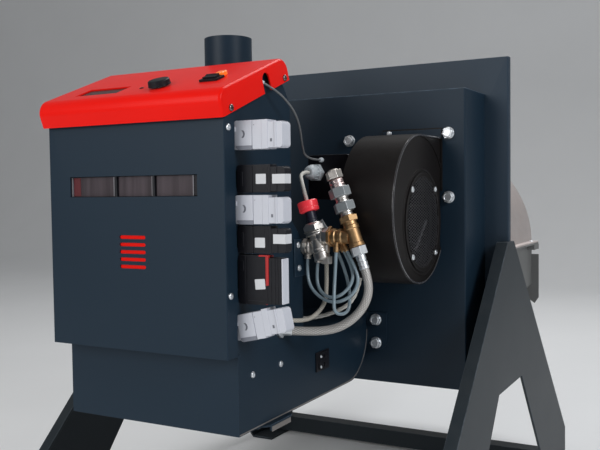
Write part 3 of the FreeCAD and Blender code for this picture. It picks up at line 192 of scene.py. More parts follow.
grainGroup = makeGrainGroup()
dustGroup = makeDustGroup()
wearAndHighlightGroup = makeWearAndHighlightGroup()
brushedGroup = makeBrushedGroup()
sootGroup = makeSootGroup()
braidGroup = makeBraidGroup()
print("shared effects ready")


def startMaterial(name, coordinates="Object"):
    material = bpy.data.materials.new(name)
    material.use_nodes = True
    tree = material.node_tree
    tree.nodes.clear()
    out = tree.nodes.new("ShaderNodeOutputMaterial")
    shader = tree.nodes.new("ShaderNodeBsdfPrincipled")
    tree.links.new(shader.outputs[0], out.inputs["Surface"])
    return material, tree, shader, tree.nodes.new("ShaderNodeTexCoord").outputs[coordinates]


def mixColour(tree, factor, first, second):
    node = addNode(tree, "ShaderNodeMix", data_type="RGBA")
    for index, value in ((0, factor), (6, first), (7, second)):
        feed(tree, node.inputs[index], value)
    return node.outputs[2]


def shadeOf(colour, factor):
    return (colour[0] * factor, colour[1] * factor, colour[2] * factor, 1.0)


def spreadColour(tree, factor, row):
    # the row's colour, a little darker to a little lighter
    return mixColour(tree, factor, shadeOf(row["colour"], 1 - row["spread"]),
                     shadeOf(row["colour"], 1 + row["spread"]))


def addBump(tree, shader, height, strength, distance):
    bump = addNode(tree, "ShaderNodeBump", {"Height": height, "Strength": strength, "Distance": distance})
    tree.links.new(bump.outputs[0], shader.inputs["Normal"])


# every painted, enamelled or moulded finish: these values, changed by its own row below
paintDefaults = {
    "rough": 0.42, "specular": 0.4, "metal": 0.0, "coat": 0.0, "coatRough": 0.1, "glow": 0.0,
    "grain": 900.0, "grainHeight": 0.0004, "bump": 0.08, "broad": 5.0, "spread": 0.04, "gloss": 0.03,
    "wearAndHighlight": 0.35, "wearAndHighlightScale": 90.0, "wearAndHighlightColour": (0.22, 0.23, 0.24),
    "dust": 0.05, "dustPatch": 16.0, "dustRough": 0.5, "dustColour": (0.32, 0.31, 0.29, 1.0),
    "soot": 0.0, "sootRough": 0.35, "sootColour": (0.018, 0.017, 0.016, 1.0),
    "streak": 0.0, "streakScale": 95.0, "streakShade": 2.1,
}
# each row's wear colour is lighter than its paint: a little wear, mostly a painted highlight on the rounded
# edges
paints = {
    "anthracite": {"colour": (0.0092, 0.0218, 0.0370), "rough": 0.44, "specular": 0.18, "bump": 0.10,
        "dust": 0.03, "wearAndHighlight": 0.7, "wearAndHighlightColour": (0.085, 0.125, 0.17)},
    # the same anthracite, lighter: a painted sheen on the flange plate
    "platePaint": {"colour": (0.0185, 0.0340, 0.0530), "rough": 0.44, "specular": 0.20, "bump": 0.10,
        "dust": 0.03, "wearAndHighlight": 0.7, "wearAndHighlightColour": (0.11, 0.15, 0.20)},
    # the same anthracite, lighter and browner: a painted reflection of the room on the stand
    "standPaint": {"colour": (0.0190, 0.0255, 0.0310), "rough": 0.46, "specular": 0.18, "bump": 0.10,
        "dust": 0.05, "wearAndHighlight": 0.7, "wearAndHighlightColour": (0.10, 0.12, 0.14)},
    # light, partly a painted reflection along the housing's lower edges
    "hemSteel": {"colour": (0.20, 0.185, 0.175), "rough": 0.45, "metal": 0.3, "wearAndHighlight": 0.4},
    "red_paint": {"colour": (0.80, 0.008, 0.004), "rough": 0.30, "specular": 0.10, "grain": 500.0,
        "bump": 0.03, "dust": 0.02, "wearAndHighlight": 0.12, "wearAndHighlightColour": (0.9, 0.06, 0.04)},
    "gloss_black": {"colour": (0.0100, 0.0086, 0.0084), "rough": 0.40, "specular": 0.13, "grain": 300.0,
        "bump": 0.03, "wearAndHighlight": 0.5, "wearAndHighlightColour": (0.07, 0.07, 0.075)},
    # black lightened to a painted highlight along the drum's rolled seam
    "seamBlack": {"colour": (0.060, 0.060, 0.066), "rough": 0.24, "specular": 0.8, "bump": 0.02,
        "coat": 0.7, "wearAndHighlight": 0.0, "dust": 0.0},
    "meshBlack": {"colour": (0.060, 0.060, 0.066), "rough": 0.42, "specular": 0.3, "bump": 0.02,
        "wearAndHighlight": 0.0, "dust": 0.0},
    "black_plastic": {"colour": (0.0068, 0.0072, 0.0102), "rough": 0.42, "specular": 0.20, "grain": 1500.0,
        "bump": 0.14, "wearAndHighlight": 0.3, "wearAndHighlightColour": (0.07, 0.07, 0.08)},
    "white_plastic": {"colour": (0.53, 0.545, 0.60), "rough": 0.40, "grain": 1500.0, "bump": 0.05,
        "wearAndHighlight": 0.1, "wearAndHighlightColour": (0.8, 0.8, 0.8), "spread": 0.03},
    "grey_plastic": {"colour": (0.56, 0.61, 0.64), "rough": 0.42, "grain": 1300.0, "wearAndHighlight": 0.2,
        "wearAndHighlightColour": (0.75, 0.77, 0.78)},
    "smoked_pane": {"colour": (0.046, 0.037, 0.042), "rough": 0.2, "specular": 0.3, "grain": 300.0,
        "bump": 0.01, "wearAndHighlight": 0.0, "spread": 0.2, "dust": 0.0, "streak": 0.6},
    # painted red light in the window's left end
    "paneRed": {"colour": (0.095, 0.018, 0.022), "rough": 0.25, "wearAndHighlight": 0.0, "dust": 0.0},
    # painted reflection strips beside the window's bars
    "trimGrey": {"colour": (0.16, 0.155, 0.17), "rough": 0.4, "wearAndHighlight": 0.0, "dust": 0.0},
    # red-brown tint: a painted reflection in the display glass
    "display_black": {"colour": (0.012, 0.006, 0.006), "rough": 0.2, "specular": 0.12, "bump": 0.01,
        "wearAndHighlight": 0.1},
    # its glow is painted light: the sensor cap emits though it is no lamp
    "red_cap": {"colour": (1.0, 0.05, 0.07), "rough": 0.34, "bump": 0.04, "coat": 0.15, "wearAndHighlight": 0.2,
        "wearAndHighlightColour": (0.95, 0.25, 0.25), "dust": 0.0, "glow": 0.17},
    "red_gasket": {"colour": (0.42, 0.015, 0.015), "rough": 0.5, "bump": 0.1, "wearAndHighlight": 0.0},
    "ceramic_rope": {"colour": (0.60, 0.57, 0.51), "rough": 0.9, "grain": 350.0, "bump": 0.6, "wearAndHighlight": 0.0,
        "spread": 0.1},
    "grey_steel": {"colour": (0.135, 0.138, 0.136), "rough": 0.52, "grain": 260.0, "bump": 0.16,
        "wearAndHighlight": 0.8, "wearAndHighlightColour": (0.42, 0.41, 0.39), "dust": 0.12, "spread": 0.14, "soot": 0.85},
    "cast_iron": {"colour": (0.045, 0.042, 0.040), "rough": 0.75, "grain": 300.0, "bump": 0.7, "metal": 0.4,
        "wearAndHighlightColour": (0.17, 0.14, 0.11), "dust": 0.4, "spread": 0.3},
    "motor_grey": {"colour": (0.05, 0.05, 0.055), "bump": 0.1},
    "air_tube": {"colour": (0.285, 0.375, 0.430), "rough": 0.22, "specular": 0.6, "bump": 0.02, "coat": 0.4,
        "wearAndHighlight": 0.0, "spread": 0.14},
    "pale_cable": {"colour": (0.62, 0.61, 0.56), "rough": 0.45, "bump": 0.08, "wearAndHighlight": 0.0, "spread": 0.1},
    "lidLeadGrey": {"colour": (0.15, 0.155, 0.16), "rough": 0.45, "bump": 0.08, "wearAndHighlight": 0.0, "spread": 0.2},
    "grey_cable": {"colour": (0.56, 0.55, 0.51), "rough": 0.45, "bump": 0.08, "wearAndHighlight": 0.0, "spread": 0.25},
    "circuit_board": {"colour": (0.02, 0.14, 0.06), "rough": 0.35},
    "greyHex": {"colour": (0.27, 0.295, 0.305), "rough": 0.42, "metal": 0.2, "bump": 0.06, "wearAndHighlight": 0.7,
        "wearAndHighlightColour": (0.6, 0.62, 0.63)},
    # near-white edges on dark screws: a painted glint
    "darkScrew": {"colour": (0.22, 0.19, 0.185), "rough": 0.16, "metal": 1.0, "wearAndHighlight": 1.0,
        "wearAndHighlightColour": (0.8, 0.78, 0.76)},
    "darkStem": {"colour": (0.020, 0.024, 0.045), "rough": 0.35},
    "blankLabel": {"colour": (0.60, 0.61, 0.63), "rough": 0.55, "grain": 1200.0, "wearAndHighlight": 0.0, "dust": 0.0},
    "orangeLens": {"colour": (0.95, 0.19, 0.02), "rough": 0.22, "coat": 0.3, "wearAndHighlight": 0.0, "glow": 0.35,
        "dust": 0.0},
    # painted shade: dark inlays where the connectors' latch recesses are
    "latchShade": {"colour": (0.13, 0.135, 0.16), "rough": 0.55, "wearAndHighlight": 0.0, "dust": 0.0},
    "footGrey": {"colour": (0.19, 0.20, 0.235), "rough": 0.5, "wearAndHighlight": 0.2},
}


def paintedFinish(name, row):
    row = {**paintDefaults, **row}
    material, tree, shader, coords = startMaterial(name)
    grain = useGroup(tree, grainGroup, Vector=coords, Fine=row["grain"], Broad=row["broad"])
    base = spreadColour(tree, grain["Shade"], row)
    rough = ramp(tree, grain["Shade"], 0.0, 1.0, row["rough"] - row["gloss"], row["rough"] + row["gloss"])
    if row["streak"]:
        # upright streaks, as slats behind a pane give
        columns = stretchedBy(tree, coords, (1.0, 1.0, 0.04))
        slats = noiseNode(tree, columns, row["streakScale"], 3.0, 0.6)
        slats = ramp(tree, slats, 0.35, 0.65, 0.0, row["streak"])
        base = mixColour(tree, slats, base, shadeOf(row["colour"], row["streakShade"]))
    # rounded edges mixed towards a lighter colour: a little wear, mostly a painted highlight
    if row["wearAndHighlight"]:
        wornAndLit = useGroup(tree, wearAndHighlightGroup, Vector=coords, Amount=row["wearAndHighlight"], Scale=row["wearAndHighlightScale"])["Mask"]
        base = mixColour(tree, wornAndLit, base, (*row["wearAndHighlightColour"], 1.0))
    if row["dust"]:
        dusty = useGroup(tree, dustGroup, Vector=coords, Amount=row["dust"], Patch=row["dustPatch"])["Mask"]
        base = mixColour(tree, dusty, base, row["dustColour"])
        rough = mathNode(tree, "ADD", rough, mathNode(tree, "MULTIPLY", dusty, row["dustRough"]), True)
    if row["soot"]:
        soot = useGroup(tree, sootGroup, Vector=coords, Amount=row["soot"])["Mask"]
        base = mixColour(tree, soot, base, row["sootColour"])
        rough = mathNode(tree, "ADD", rough, mathNode(tree, "MULTIPLY", soot, row["sootRough"]), True)
    tree.links.new(base, shader.inputs["Base Color"])
    tree.links.new(rough, shader.inputs["Roughness"])
    addBump(tree, shader, grain["Height"], row["bump"], row["grainHeight"])
    for socket, key in (("Specular IOR Level", "specular"), ("Metallic", "metal"), ("Coat Weight", "coat"),
                        ("Coat Roughness", "coatRough")):
        shader.inputs[socket].default_value = row[key]
    # emission: the signal lens's lamp, and a painted glow on the red sensor cap
    if row["glow"]:
        tree.links.new(base, shader.inputs["Emission Color"])
        shader.inputs["Emission Strength"].default_value = row["glow"]
    return material


# every bare or plated metal
metalDefaults = {
    "rough": 0.28, "stretch": (1.0, 1.0, 1.0), "scale": 300.0, "lineHeight": 0.0003, "bump": 0.05,
    "spread": 0.08, "tintAmount": 0.35, "tintRough": 0.1, "wearAndHighlight": 0.3, "wearAndHighlightScale": 120.0, "wearAndHighlightShade": 1.3,
    "soot": 0.0, "sootRough": 0.4, "sootColour": (0.02, 0.018, 0.016, 1.0),
}
metals = {
    "stainless": {"colour": (0.68, 0.62, 0.60), "rough": 0.45, "stretch": (1.0, 0.03, 1.0), "scale": 500.0,
        "tint": (0.50, 0.42, 0.39), "soot": 0.9},
    "steel": {"colour": (0.45, 0.45, 0.46), "rough": 0.32, "tint": (0.3, 0.3, 0.3)},
    "zinc": {"colour": (0.80, 0.83, 0.86), "rough": 0.36, "tint": (0.50, 0.53, 0.53)},
    "nickel": {"colour": (0.74, 0.71, 0.67), "rough": 0.34, "tint": (0.40, 0.34, 0.28), "tintAmount": 0.6},
    "brass": {"colour": (0.57, 0.365, 0.185), "rough": 0.40, "scale": 250.0, "tint": (0.34, 0.19, 0.085),
        "tintAmount": 0.7, "spread": 0.14},
    # zinc painted black: shade on the impeller inside the housing
    "darkZinc": {"colour": (0.035, 0.036, 0.038), "rough": 0.5, "tint": (0.02, 0.02, 0.02)},
    "pinkNickel": {"colour": (0.74, 0.60, 0.58), "rough": 0.32, "tint": (0.46, 0.34, 0.32)},
}


def metalFinish(name, row):
    row = {**metalDefaults, **row}
    material, tree, shader, coords = startMaterial(name)
    lines = useGroup(tree, brushedGroup, Vector=coords, Stretch=row["stretch"], Scale=row["scale"])
    stain = ramp(tree, lines["Shade"], 0.38, 0.66)
    base = spreadColour(tree, lines["Height"], row)
    base = mixColour(tree, mathNode(tree, "MULTIPLY", stain, row["tintAmount"]), base, (*row["tint"], 1.0))
    rough = ramp(tree, lines["Height"], 0.3, 0.7, row["rough"] - 0.05, row["rough"] + 0.08)
    rough = mathNode(tree, "ADD", rough, mathNode(tree, "MULTIPLY", stain, row["tintRough"]), True)
    # rounded edges mixed towards a lighter shade of the metal: wear and a painted highlight
    wornAndLit = useGroup(tree, wearAndHighlightGroup, Vector=coords, Amount=row["wearAndHighlight"], Scale=row["wearAndHighlightScale"])["Mask"]
    base = mixColour(tree, wornAndLit, base, shadeOf(row["colour"], row["wearAndHighlightShade"]))
    if row["soot"]:
        soot = useGroup(tree, sootGroup, Vector=coords, Amount=row["soot"])["Mask"]
        base = mixColour(tree, soot, base, row["sootColour"])
        rough = mathNode(tree, "ADD", rough, mathNode(tree, "MULTIPLY", soot, row["sootRough"]), True)
        tree.links.new(mathNode(tree, "SUBTRACT", 1.0, soot, True), shader.inputs["Metallic"])
    else:
        shader.inputs["Metallic"].default_value = 1.0
    tree.links.new(base, shader.inputs["Base Color"])
    tree.links.new(rough, shader.inputs["Roughness"])
    addBump(tree, shader, lines["Height"], row["bump"], row["lineHeight"])
    return material


braids = {
    "braided_hose": {"colour": (0.64, 0.62, 0.59), "deep": (0.24, 0.23, 0.22), "pitch": 0.0050,
        "strands": 13.0, "rough": 0.36, "metal": 0.35, "bump": 0.5, "strandHeight": 0.0005},
    "creamBraid": {"colour": (0.56, 0.53, 0.46), "deep": (0.30, 0.28, 0.24), "pitch": 0.0040,
        "strands": 8.0, "rough": 0.5, "metal": 0.0, "bump": 0.5, "strandHeight": 0.0005},
}


def braidedFinish(name, row):
    material, tree, shader, coords = startMaterial(name, "UV")
    braid = useGroup(tree, braidGroup, Vector=coords, Pitch=row["pitch"], Strands=row["strands"])
    base = mixColour(tree, braid["Shade"], (*row["deep"], 1.0), (*row["colour"], 1.0))
    rough = ramp(tree, braid["Height"], 0.0, 1.0, row["rough"] + 0.2, row["rough"])
    tree.links.new(base, shader.inputs["Base Color"])
    tree.links.new(rough, shader.inputs["Roughness"])
    shader.inputs["Metallic"].default_value = row["metal"]
    addBump(tree, shader, braid["Height"], row["bump"], row["strandHeight"])
    return material


finishes = {}
for maker, rows in ((paintedFinish, paints), (metalFinish, metals), (braidedFinish, braids)):
    for name, row in rows.items():
        finishes[name] = maker(name, row)
print("finishes", len(finishes))



view = {
    "place": (0.5755, -1.158162, 0.5027),
    "right": (0.8774, 0.4797, -0.0129),
    "up": (-0.0100, 0.0453, 0.9989),
    "lens": 48.58,
    "sensor": 36.0,
    "nearest": 0.02,
}


def arc(centre, radius, start, turn, steps):
    # points on a flat arc, its angles in degrees
    angles = [math.radians(start + turn * i / steps) for i in range(steps + 1)]
    return [(centre[0] + radius * math.cos(a), centre[1] + radius * math.sin(a)) for a in angles]


def makeCamera():
    data = bpy.data.cameras.new("photoCamera")
    data.lens = view["lens"]
    data.sensor_width = view["sensor"]
    data.sensor_fit = "HORIZONTAL"
    data.clip_start = view["nearest"]
    camera = putInScene("photoCamera", data)
    right = Vector(view["right"]).normalized()
    back = right.cross(Vector(view["up"])).normalized()
    up = back.cross(right)
    camera.matrix_world = Matrix.Translation(view["place"]) @ Matrix((right, up, back)).transposed().to_4x4()
    bpy.context.scene.camera = camera


lamps = {
    "keyFront": {"place": (-1.0, -2.9, 1.5), "aim": (0.0, -0.2, 0.4), "size": 1.6, "power": 37.0,
        "colour": (1.0, 0.99, 0.97)},
    "sheenFront": {"place": (-0.45, -3.0, 0.75), "aim": (0.27, 0.0, 0.45), "size": 0.8, "power": 8.0,
        "colour": (0.97, 0.98, 1.0)},
    "fillRight": {"place": (2.4, -1.0, 1.7), "aim": (0.2, 0.0, 0.4), "size": 1.0, "power": 34.0,
        "colour": (0.95, 0.97, 1.0)},
    "topBack": {"place": (0.4, 1.4, 2.8), "aim": (0.0, 0.0, 0.4), "size": 1.4, "power": 40.0,
        "colour": (1.0, 1.0, 1.0)},
}


def makeLamps():
    for name, lamp in lamps.items():
        data = bpy.data.lights.new(name, "AREA")
        data.shape = "SQUARE"
        data.size = lamp["size"]
        data.energy = lamp["power"]
        data.color = lamp["colour"]
        item = putInScene(name, data)
        item.location = lamp["place"]
        item.rotation_mode = "QUATERNION"
        item.rotation_quaternion = (Vector(lamp["aim"]) - Vector(lamp["place"])).to_track_quat("-Z", "Y")


surroundings = {
    "worldLight": 0.28,
    "paleColour": (0.80, 0.81, 0.82, 1.0),
    "floorColour": (0.84, 0.85, 0.86, 1.0),
    "floorRough": 0.9,
    "floorHalf": 7.0,
    "wallY": 4.5,
    "bend": 1.6,
    "wallTop": 6.0,
}


def makeWorld():
    # the pale surroundings look brighter to the camera than the light they give
    world = bpy.data.worlds.new("studio")
    bpy.context.scene.world = world
    world.use_nodes = True
    tree = world.node_tree
    tree.nodes.clear()
    out = tree.nodes.new("ShaderNodeOutputWorld")
    pale = surroundings["paleColour"]
    light = addNode(tree, "ShaderNodeBackground", {"Color": pale, "Strength": surroundings["worldLight"]})
    seen = addNode(tree, "ShaderNodeBackground", {"Color": pale, "Strength": 1.0})
    rays = tree.nodes.new("ShaderNodeLightPath").outputs
    shown = mathNode(tree, "ADD", rays["Is Camera Ray"], rays["Is Transmission Ray"], True)
    mixed = addNode(tree, "ShaderNodeMixShader", {0: shown, 1: light.outputs[0], 2: seen.outputs[0]})
    tree.links.new(mixed.outputs[0], out.inputs["Surface"])


def makeFloor():
    # a floor that bends up into a wall behind the object
    half, wall, bend, top = (surroundings[key] for key in ("floorHalf", "wallY", "bend", "wallTop"))
    profile = [(-half, 0.0), *arc((wall - bend, bend), bend, -90, 90, 12), (wall, top)]
    points = [(x, y, z) for y, z in profile for x in (-half, half)]
    faces = [(2 * i, 2 * i + 1, 2 * i + 3, 2 * i + 2) for i in range(len(profile) - 1)]
    mesh = bpy.data.meshes.new("studioFloor")
    mesh.from_pydata(points, [], faces)
    mesh.shade_smooth()
    floor = putInScene("studioFloor", mesh)
    material, tree, shader, coords = startMaterial("paleFloor")
    patches = noiseNode(tree, coords, 3.0, 3.0, 0.5)
    tone = mixColour(tree, patches, surroundings["paleColour"], surroundings["floorColour"])
    tree.links.new(tone, shader.inputs["Base Color"])
    shader.inputs["Roughness"].default_value = surroundings["floorRough"]
    mesh.materials.append(material)


makeCamera()
makeLamps()
makeWorld()
makeFloor()
bpy.context.scene.view_settings.view_transform = "Standard"
print("camera, lamps and floor ready")


def addPiece(name, mesh, body, replaced=()):
    piece = putInScene(name, mesh)
    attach(piece, body)
    if replaced:
        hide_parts(*replaced)
    return piece


def plainMesh(name, worker):
    # the evaluated mesh of a working object, which is then removed
    graph = bpy.context.evaluated_depsgraph_get()
    mesh = bpy.data.meshes.new_from_object(worker.evaluated_get(graph), depsgraph=graph)
    mesh.name = name
    bpy.data.objects.remove(worker)
    return mesh


def meshFrom(name, bm):
    mesh = bpy.data.meshes.new(name)
    bm.to_mesh(mesh)
    bm.free()
    return mesh


def edgedMesh(name, mesh, width, segments=2, angle=32.0):
    # rounds the sharp edges by a width in metres and marks the rounds with edgeMask
    mesh.shade_smooth()
    mesh.set_sharp_from_angle(angle=math.radians(angle))
    mesh.materials.clear()
    mesh.materials.append(None)
    mesh.materials.append(None)
    worker = putInScene(name + "Work", mesh)
    bevel = worker.modifiers.new("edges", "BEVEL")
    bevel.width = width
    bevel.segments = segments
    bevel.limit_method = "ANGLE"
    bevel.angle_limit = math.radians(angle)
    bevel.harden_normals = True
    bevel.material = 1
    result = plainMesh(name, worker)
    marks = [0] * len(result.polygons)
    result.polygons.foreach_get("material_index", marks)
    mask = result.attributes.new("edgeMask", "FLOAT", "FACE")
    mask.data.foreach_set("value", [float(mark) for mark in marks])
    result.polygons.foreach_set("material_index", [0] * len(marks))
    result.materials.clear()
    return result


def finishPiece(name, bm, finish, replaced=(), body="burner", edge=0.3, segments=2, angle=32.0):
    # a piece drawn in millimetres gets its rounds, its finish and its place
    bmesh.ops.recalc_face_normals(bm, faces=bm.faces)
    bm.transform(toRow)
    mesh = edgedMesh(name, meshFrom(name + "Drawn", bm), edge / 1000, segments, angle)
    mesh.materials.append(finishes[finish])
    addPiece(name, mesh, body, replaced)


def boxInto(bm, low, high, place=Matrix()):
    low, high = Vector(low), Vector(high)
    size = Matrix.Diagonal((*(high - low), 1.0))
    bmesh.ops.create_cube(bm, size=1.0, matrix=place @ Matrix.Translation((low + high) / 2) @ size)


def ringsInto(bm, rings):
    # joins rings of equally many points one after the other and closes both ends
    rings = [[bm.verts.new(point) for point in ring] for ring in rings]
    bm.faces.new(rings[0][::-1])
    bm.faces.new(rings[-1])
    for low, high in zip(rings, rings[1:]):
        for i in range(len(low)):
            j = (i + 1) % len(low)
            bm.faces.new((low[i], low[j], high[j], high[i]))


def prismInto(bm, outline, depth, place=Matrix()):
    ringsInto(bm, [[place @ Vector((x, y, z)) for x, y in outline] for z in (0.0, depth)])


def turnInto(bm, profile, place=Matrix(), steps=36):
    # turns (radius, height) points round the place's own Z; a profile that starts off the axis is either
    # a closed loop or gets flat ends
    if profile[0] != profile[-1] and profile[0][0] > 0:
        profile = [(0, profile[0][1]), *profile, (0, profile[-1][1])]
    rings = []
    for radius, height in profile:
        turns = [math.tau * i / steps for i in range(steps if radius else 1)]
        rings.append([bm.verts.new(place @ Vector((radius * math.cos(turn), radius * math.sin(turn), height)))
                      for turn in turns])
    for low, high in zip(rings, rings[1:]):
        for i in range(steps):
            j = (i + 1) % steps
            corners = [low[i % len(low)], low[j % len(low)], high[j % len(high)], high[i % len(high)]]
            bm.faces.new(list(dict.fromkeys(corners)))


def along(start, direction):
    # a place whose Z looks along a direction
    turn = Vector((0.0, 0.0, 1.0)).rotation_difference(Vector(direction))
    return Matrix.Translation(start) @ turn.to_matrix().to_4x4()


def hexInto(bm, start, direction, flats, length, spin=0.0):
    prismInto(bm, arc((0, 0), flats / math.sqrt(3), spin, 360, 6)[:-1], length, along(start, direction))


def facingFront(y):
    # local X, Y and Z become X, Z and -Y: outlines drawn on the face that looks to the front
    return Matrix(((1, 0, 0, 0), (0, 0, -1, y), (0, 1, 0, 0), (0, 0, 0, 1)))


def roundedOutline(x0, x1, z0, z1, radii, steps=5):
    # one radius, or four in the order low left, low right, high right, high left
    radii = radii if isinstance(radii, tuple) else (radii,) * 4
    outline = []
    corners = ((x0, z0, 1, 1, 180), (x1, z0, -1, 1, 270), (x1, z1, -1, -1, 0), (x0, z1, 1, -1, 90))
    for (x, z, sx, sz, first), radius in zip(corners, radii):
        outline += arc((x + sx * radius, z + sz * radius), radius, first, 90, steps)
    return outline


def bandInto(bm, line, section):
    # carries a section of (x, outward) points along a line drawn in Y and Z
    rings = []
    for i, (y, z) in enumerate(line):
        before, after = line[max(i - 1, 0)], line[min(i + 1, len(line) - 1)]
        run = Vector((after[0] - before[0], after[1] - before[1])).normalized()
        rings.append([(x, y - run.y * out, z + run.x * out) for x, out in section])
    ringsInto(bm, rings)


def boxPiece(name, finish, boxes, replaced=(), **looks):
    bm = bmesh.new()
    for box in boxes:
        boxInto(bm, *box)
    finishPiece(name, bm, finish, replaced, **looks)


def routeLine(name, points):
    # the points that Blender reads along the cord's own NURBS spline
    data = bpy.data.curves.new(name + "Route", "CURVE")
    data.dimensions = "3D"
    data.resolution_u = 24
    spline = data.splines.new("NURBS")
    spline.points.add(len(points) - 1)
    for knot, point in zip(spline.points, points):
        knot.co = (*point, 1.0)
    spline.order_u = 3
    spline.use_endpoint_u = True
    mesh = plainMesh(name + "Line", putInScene(name + "Route", data))
    line = [vertex.co.copy() for vertex in mesh.vertices]
    bpy.data.meshes.remove(mesh)
    return line


def evenSteps(line, step):
    # the same line with even distances
    lengths = [0.0]
    for a, b in zip(line, line[1:]):
        lengths.append(lengths[-1] + (b - a).length)
    count = max(8, round(lengths[-1] / step))
    result = []
    k = 0
    for i in range(count + 1):
        want = lengths[-1] * i / count
        while k < len(line) - 2 and lengths[k + 1] < want:
            k += 1
        share = (want - lengths[k]) / max(lengths[k + 1] - lengths[k], 1e-9)
        result.append(line[k].lerp(line[k + 1], min(max(share, 0.0), 1.0)))
    return result, lengths[-1] / count


def carriedFrames(line):
    # a side and an up for each point, carried along without twist
    frames = []
    side = None
    for i in range(len(line)):
        forward = (line[min(i + 1, len(line) - 1)] - line[max(i - 1, 0)]).normalized()
        if side is None:
            side = forward.orthogonal().normalized()
        side = (side - forward * side.dot(forward)).normalized()
        frames.append((side, forward.cross(side)))
    return frames


def tubeInto(verts, faces, uvs, line, radius, sides, step, ripple=None):
    # a closed tube round a line, its UV in metres along and turns around; a ripple has a pitch and a depth
    start = len(verts)
    for i, (point, (side, up)) in enumerate(zip(line, carriedFrames(line))):
        r = radius
        if ripple:
            pitch, depth = ripple
            r = radius * (1.0 - depth * (0.5 - 0.5 * math.cos(math.tau * i * step / pitch)))
        for j in range(sides):
            turn = math.tau * j / sides
            verts.append(point + side * (r * math.cos(turn)) + up * (r * math.sin(turn)))
    for i in range(len(line) - 1):
        near, far = i * step, (i + 1) * step
        for j in range(sides):
            a, b = start + i * sides + j, start + i * sides + (j + 1) % sides
            low, high = j / sides, (j + 1) / sides
            faces.append((a, b, b + sides, a + sides))
            uvs.append(((near, low), (near, high), (far, high), (far, low)))
    last = start + (len(line) - 1) * sides
    faces.append(tuple(range(start, start + sides))[::-1])
    faces.append(tuple(range(last, last + sides)))
    uvs.extend([[(0.0, 0.0)] * sides] * 2)


# what the three air tubes share
airTube = {"finish": "air_tube", "diameter": 0.004, "stiffness": "stiff", "step": 0.0015, "sides": 16}
# points in millimetres, as the part's own routes have them, and every other length in metres
# a ripple has a pitch and a depth; strands have a count, a radius and the length of one twist
cords = {
    "bigHoseBraid": {
        "node": "big_air_hose", "finish": "braided_hose", "diameter": 0.010,
        "length": 0.1350, "stiffness": "stiff", "step": 0.0012, "sides": 28,
        "points": [(197.9, 166.0, 80.2), (204.5, 166.0, 61.3), (200.5, 158.0, 37.5), (183.0, 146.0, 18.0),
                   (158.0, 134.0, 10.0), (129.0, 117.0, 12.5)]},
    "thinHoseBraid": {
        "node": "thin_air_hose", "finish": "creamBraid", "diameter": 0.005,
        "length": 0.1066, "stiffness": "medium", "step": 0.0012, "sides": 20,
        "points": [(148.4, 167.0, 85.0), (148.4, 167.0, 62.0), (148.0, 164.0, 38.0), (142.0, 144.0, 24.0),
                   (135.0, 126.0, 22.5), (126.0, 112.0, 25.0)]},
    "outerTube": {
        **airTube, "node": "outer_air_tube", "length": 0.1516,
        "points": [(124.0, 166.0, 90.0), (123.0, 165.0, 68.0), (136.0, 159.0, 50.0), (161.0, 156.0, 39.5),
                   (184.0, 158.0, 48.0), (193.0, 162.0, 66.0), (185.5, 165.0, 84.0),
                   (175.5, 166.5, 100.0)]},
    "innerTube": {
        **airTube, "node": "inner_air_tube", "length": 0.1242,
        "points": [(137.6, 166.0, 86.0), (135.5, 165.0, 66.0), (144.0, 160.0, 51.5), (159.0, 157.0, 45.5),
                   (174.0, 158.0, 51.0), (185.5, 163.0, 67.0), (178.5, 170.0, 85.0), (169.5, 171.0, 99.5)]},
    "middleTube": {
        **airTube, "node": "inner_air_tube", "length": 0.1591,
        "points": [(164.5, 160.0, 99.0), (164.5, 157.0, 76.0), (166.5, 149.0, 50.0), (168.5, 145.0, 29.0),
                   (179.0, 163.0, 29.0), (177.0, 170.0, 52.0), (171.0, 172.0, 76.0), (160.5, 172.0, 99.0)]},
    "sensorLead": {
        "node": "sensor_cable", "finish": "pale_cable", "diameter": 0.0045,
        "length": 0.0687, "stiffness": "medium", "step": 0.0010, "sides": 18,
        "points": [(124.0, 166.0, 158.3), (118.5, 166.0, 177.0), (104.0, 186.0, 193.0),
                   (104.0, 208.0, 193.0)]},
    "lidLead": {
        "node": "lid_cable", "finish": "lidLeadGrey", "diameter": 0.0025,
        "length": 0.1785, "stiffness": "limp", "step": 0.0006, "sides": 12,
        "ripple": (0.0024, 0.1),
        "points": [(121.5, 75.5, 287.0), (129.5, 88.0, 280.0), (134.5, 105.0, 268.5), (135.0, 122.0, 256.0),
                   (130.0, 141.0, 241.5), (121.0, 161.0, 225.0), (112.0, 186.0, 208.5),
                   (112.0, 224.0, 208.5)]},
    "fanLead": {
        "node": "fan_lead", "finish": "grey_cable", "diameter": 0.005,
        "length": 0.1655, "stiffness": "limp", "step": 0.0012, "sides": 10,
        "strands": (4, 0.00105, 0.034),
        "points": [(70.0, 143.0, 14.0), (70.0, 162.0, 14.0), (84.0, 186.0, 13.0), (104.0, 198.0, 13.0),
                   (126.0, 201.0, 17.0), (147.0, 201.0, 25.0), (161.0, 205.0, 34.0), (165.0, 215.9, 47.3),
                   (165.0, 225.6, 62.2)]},
}


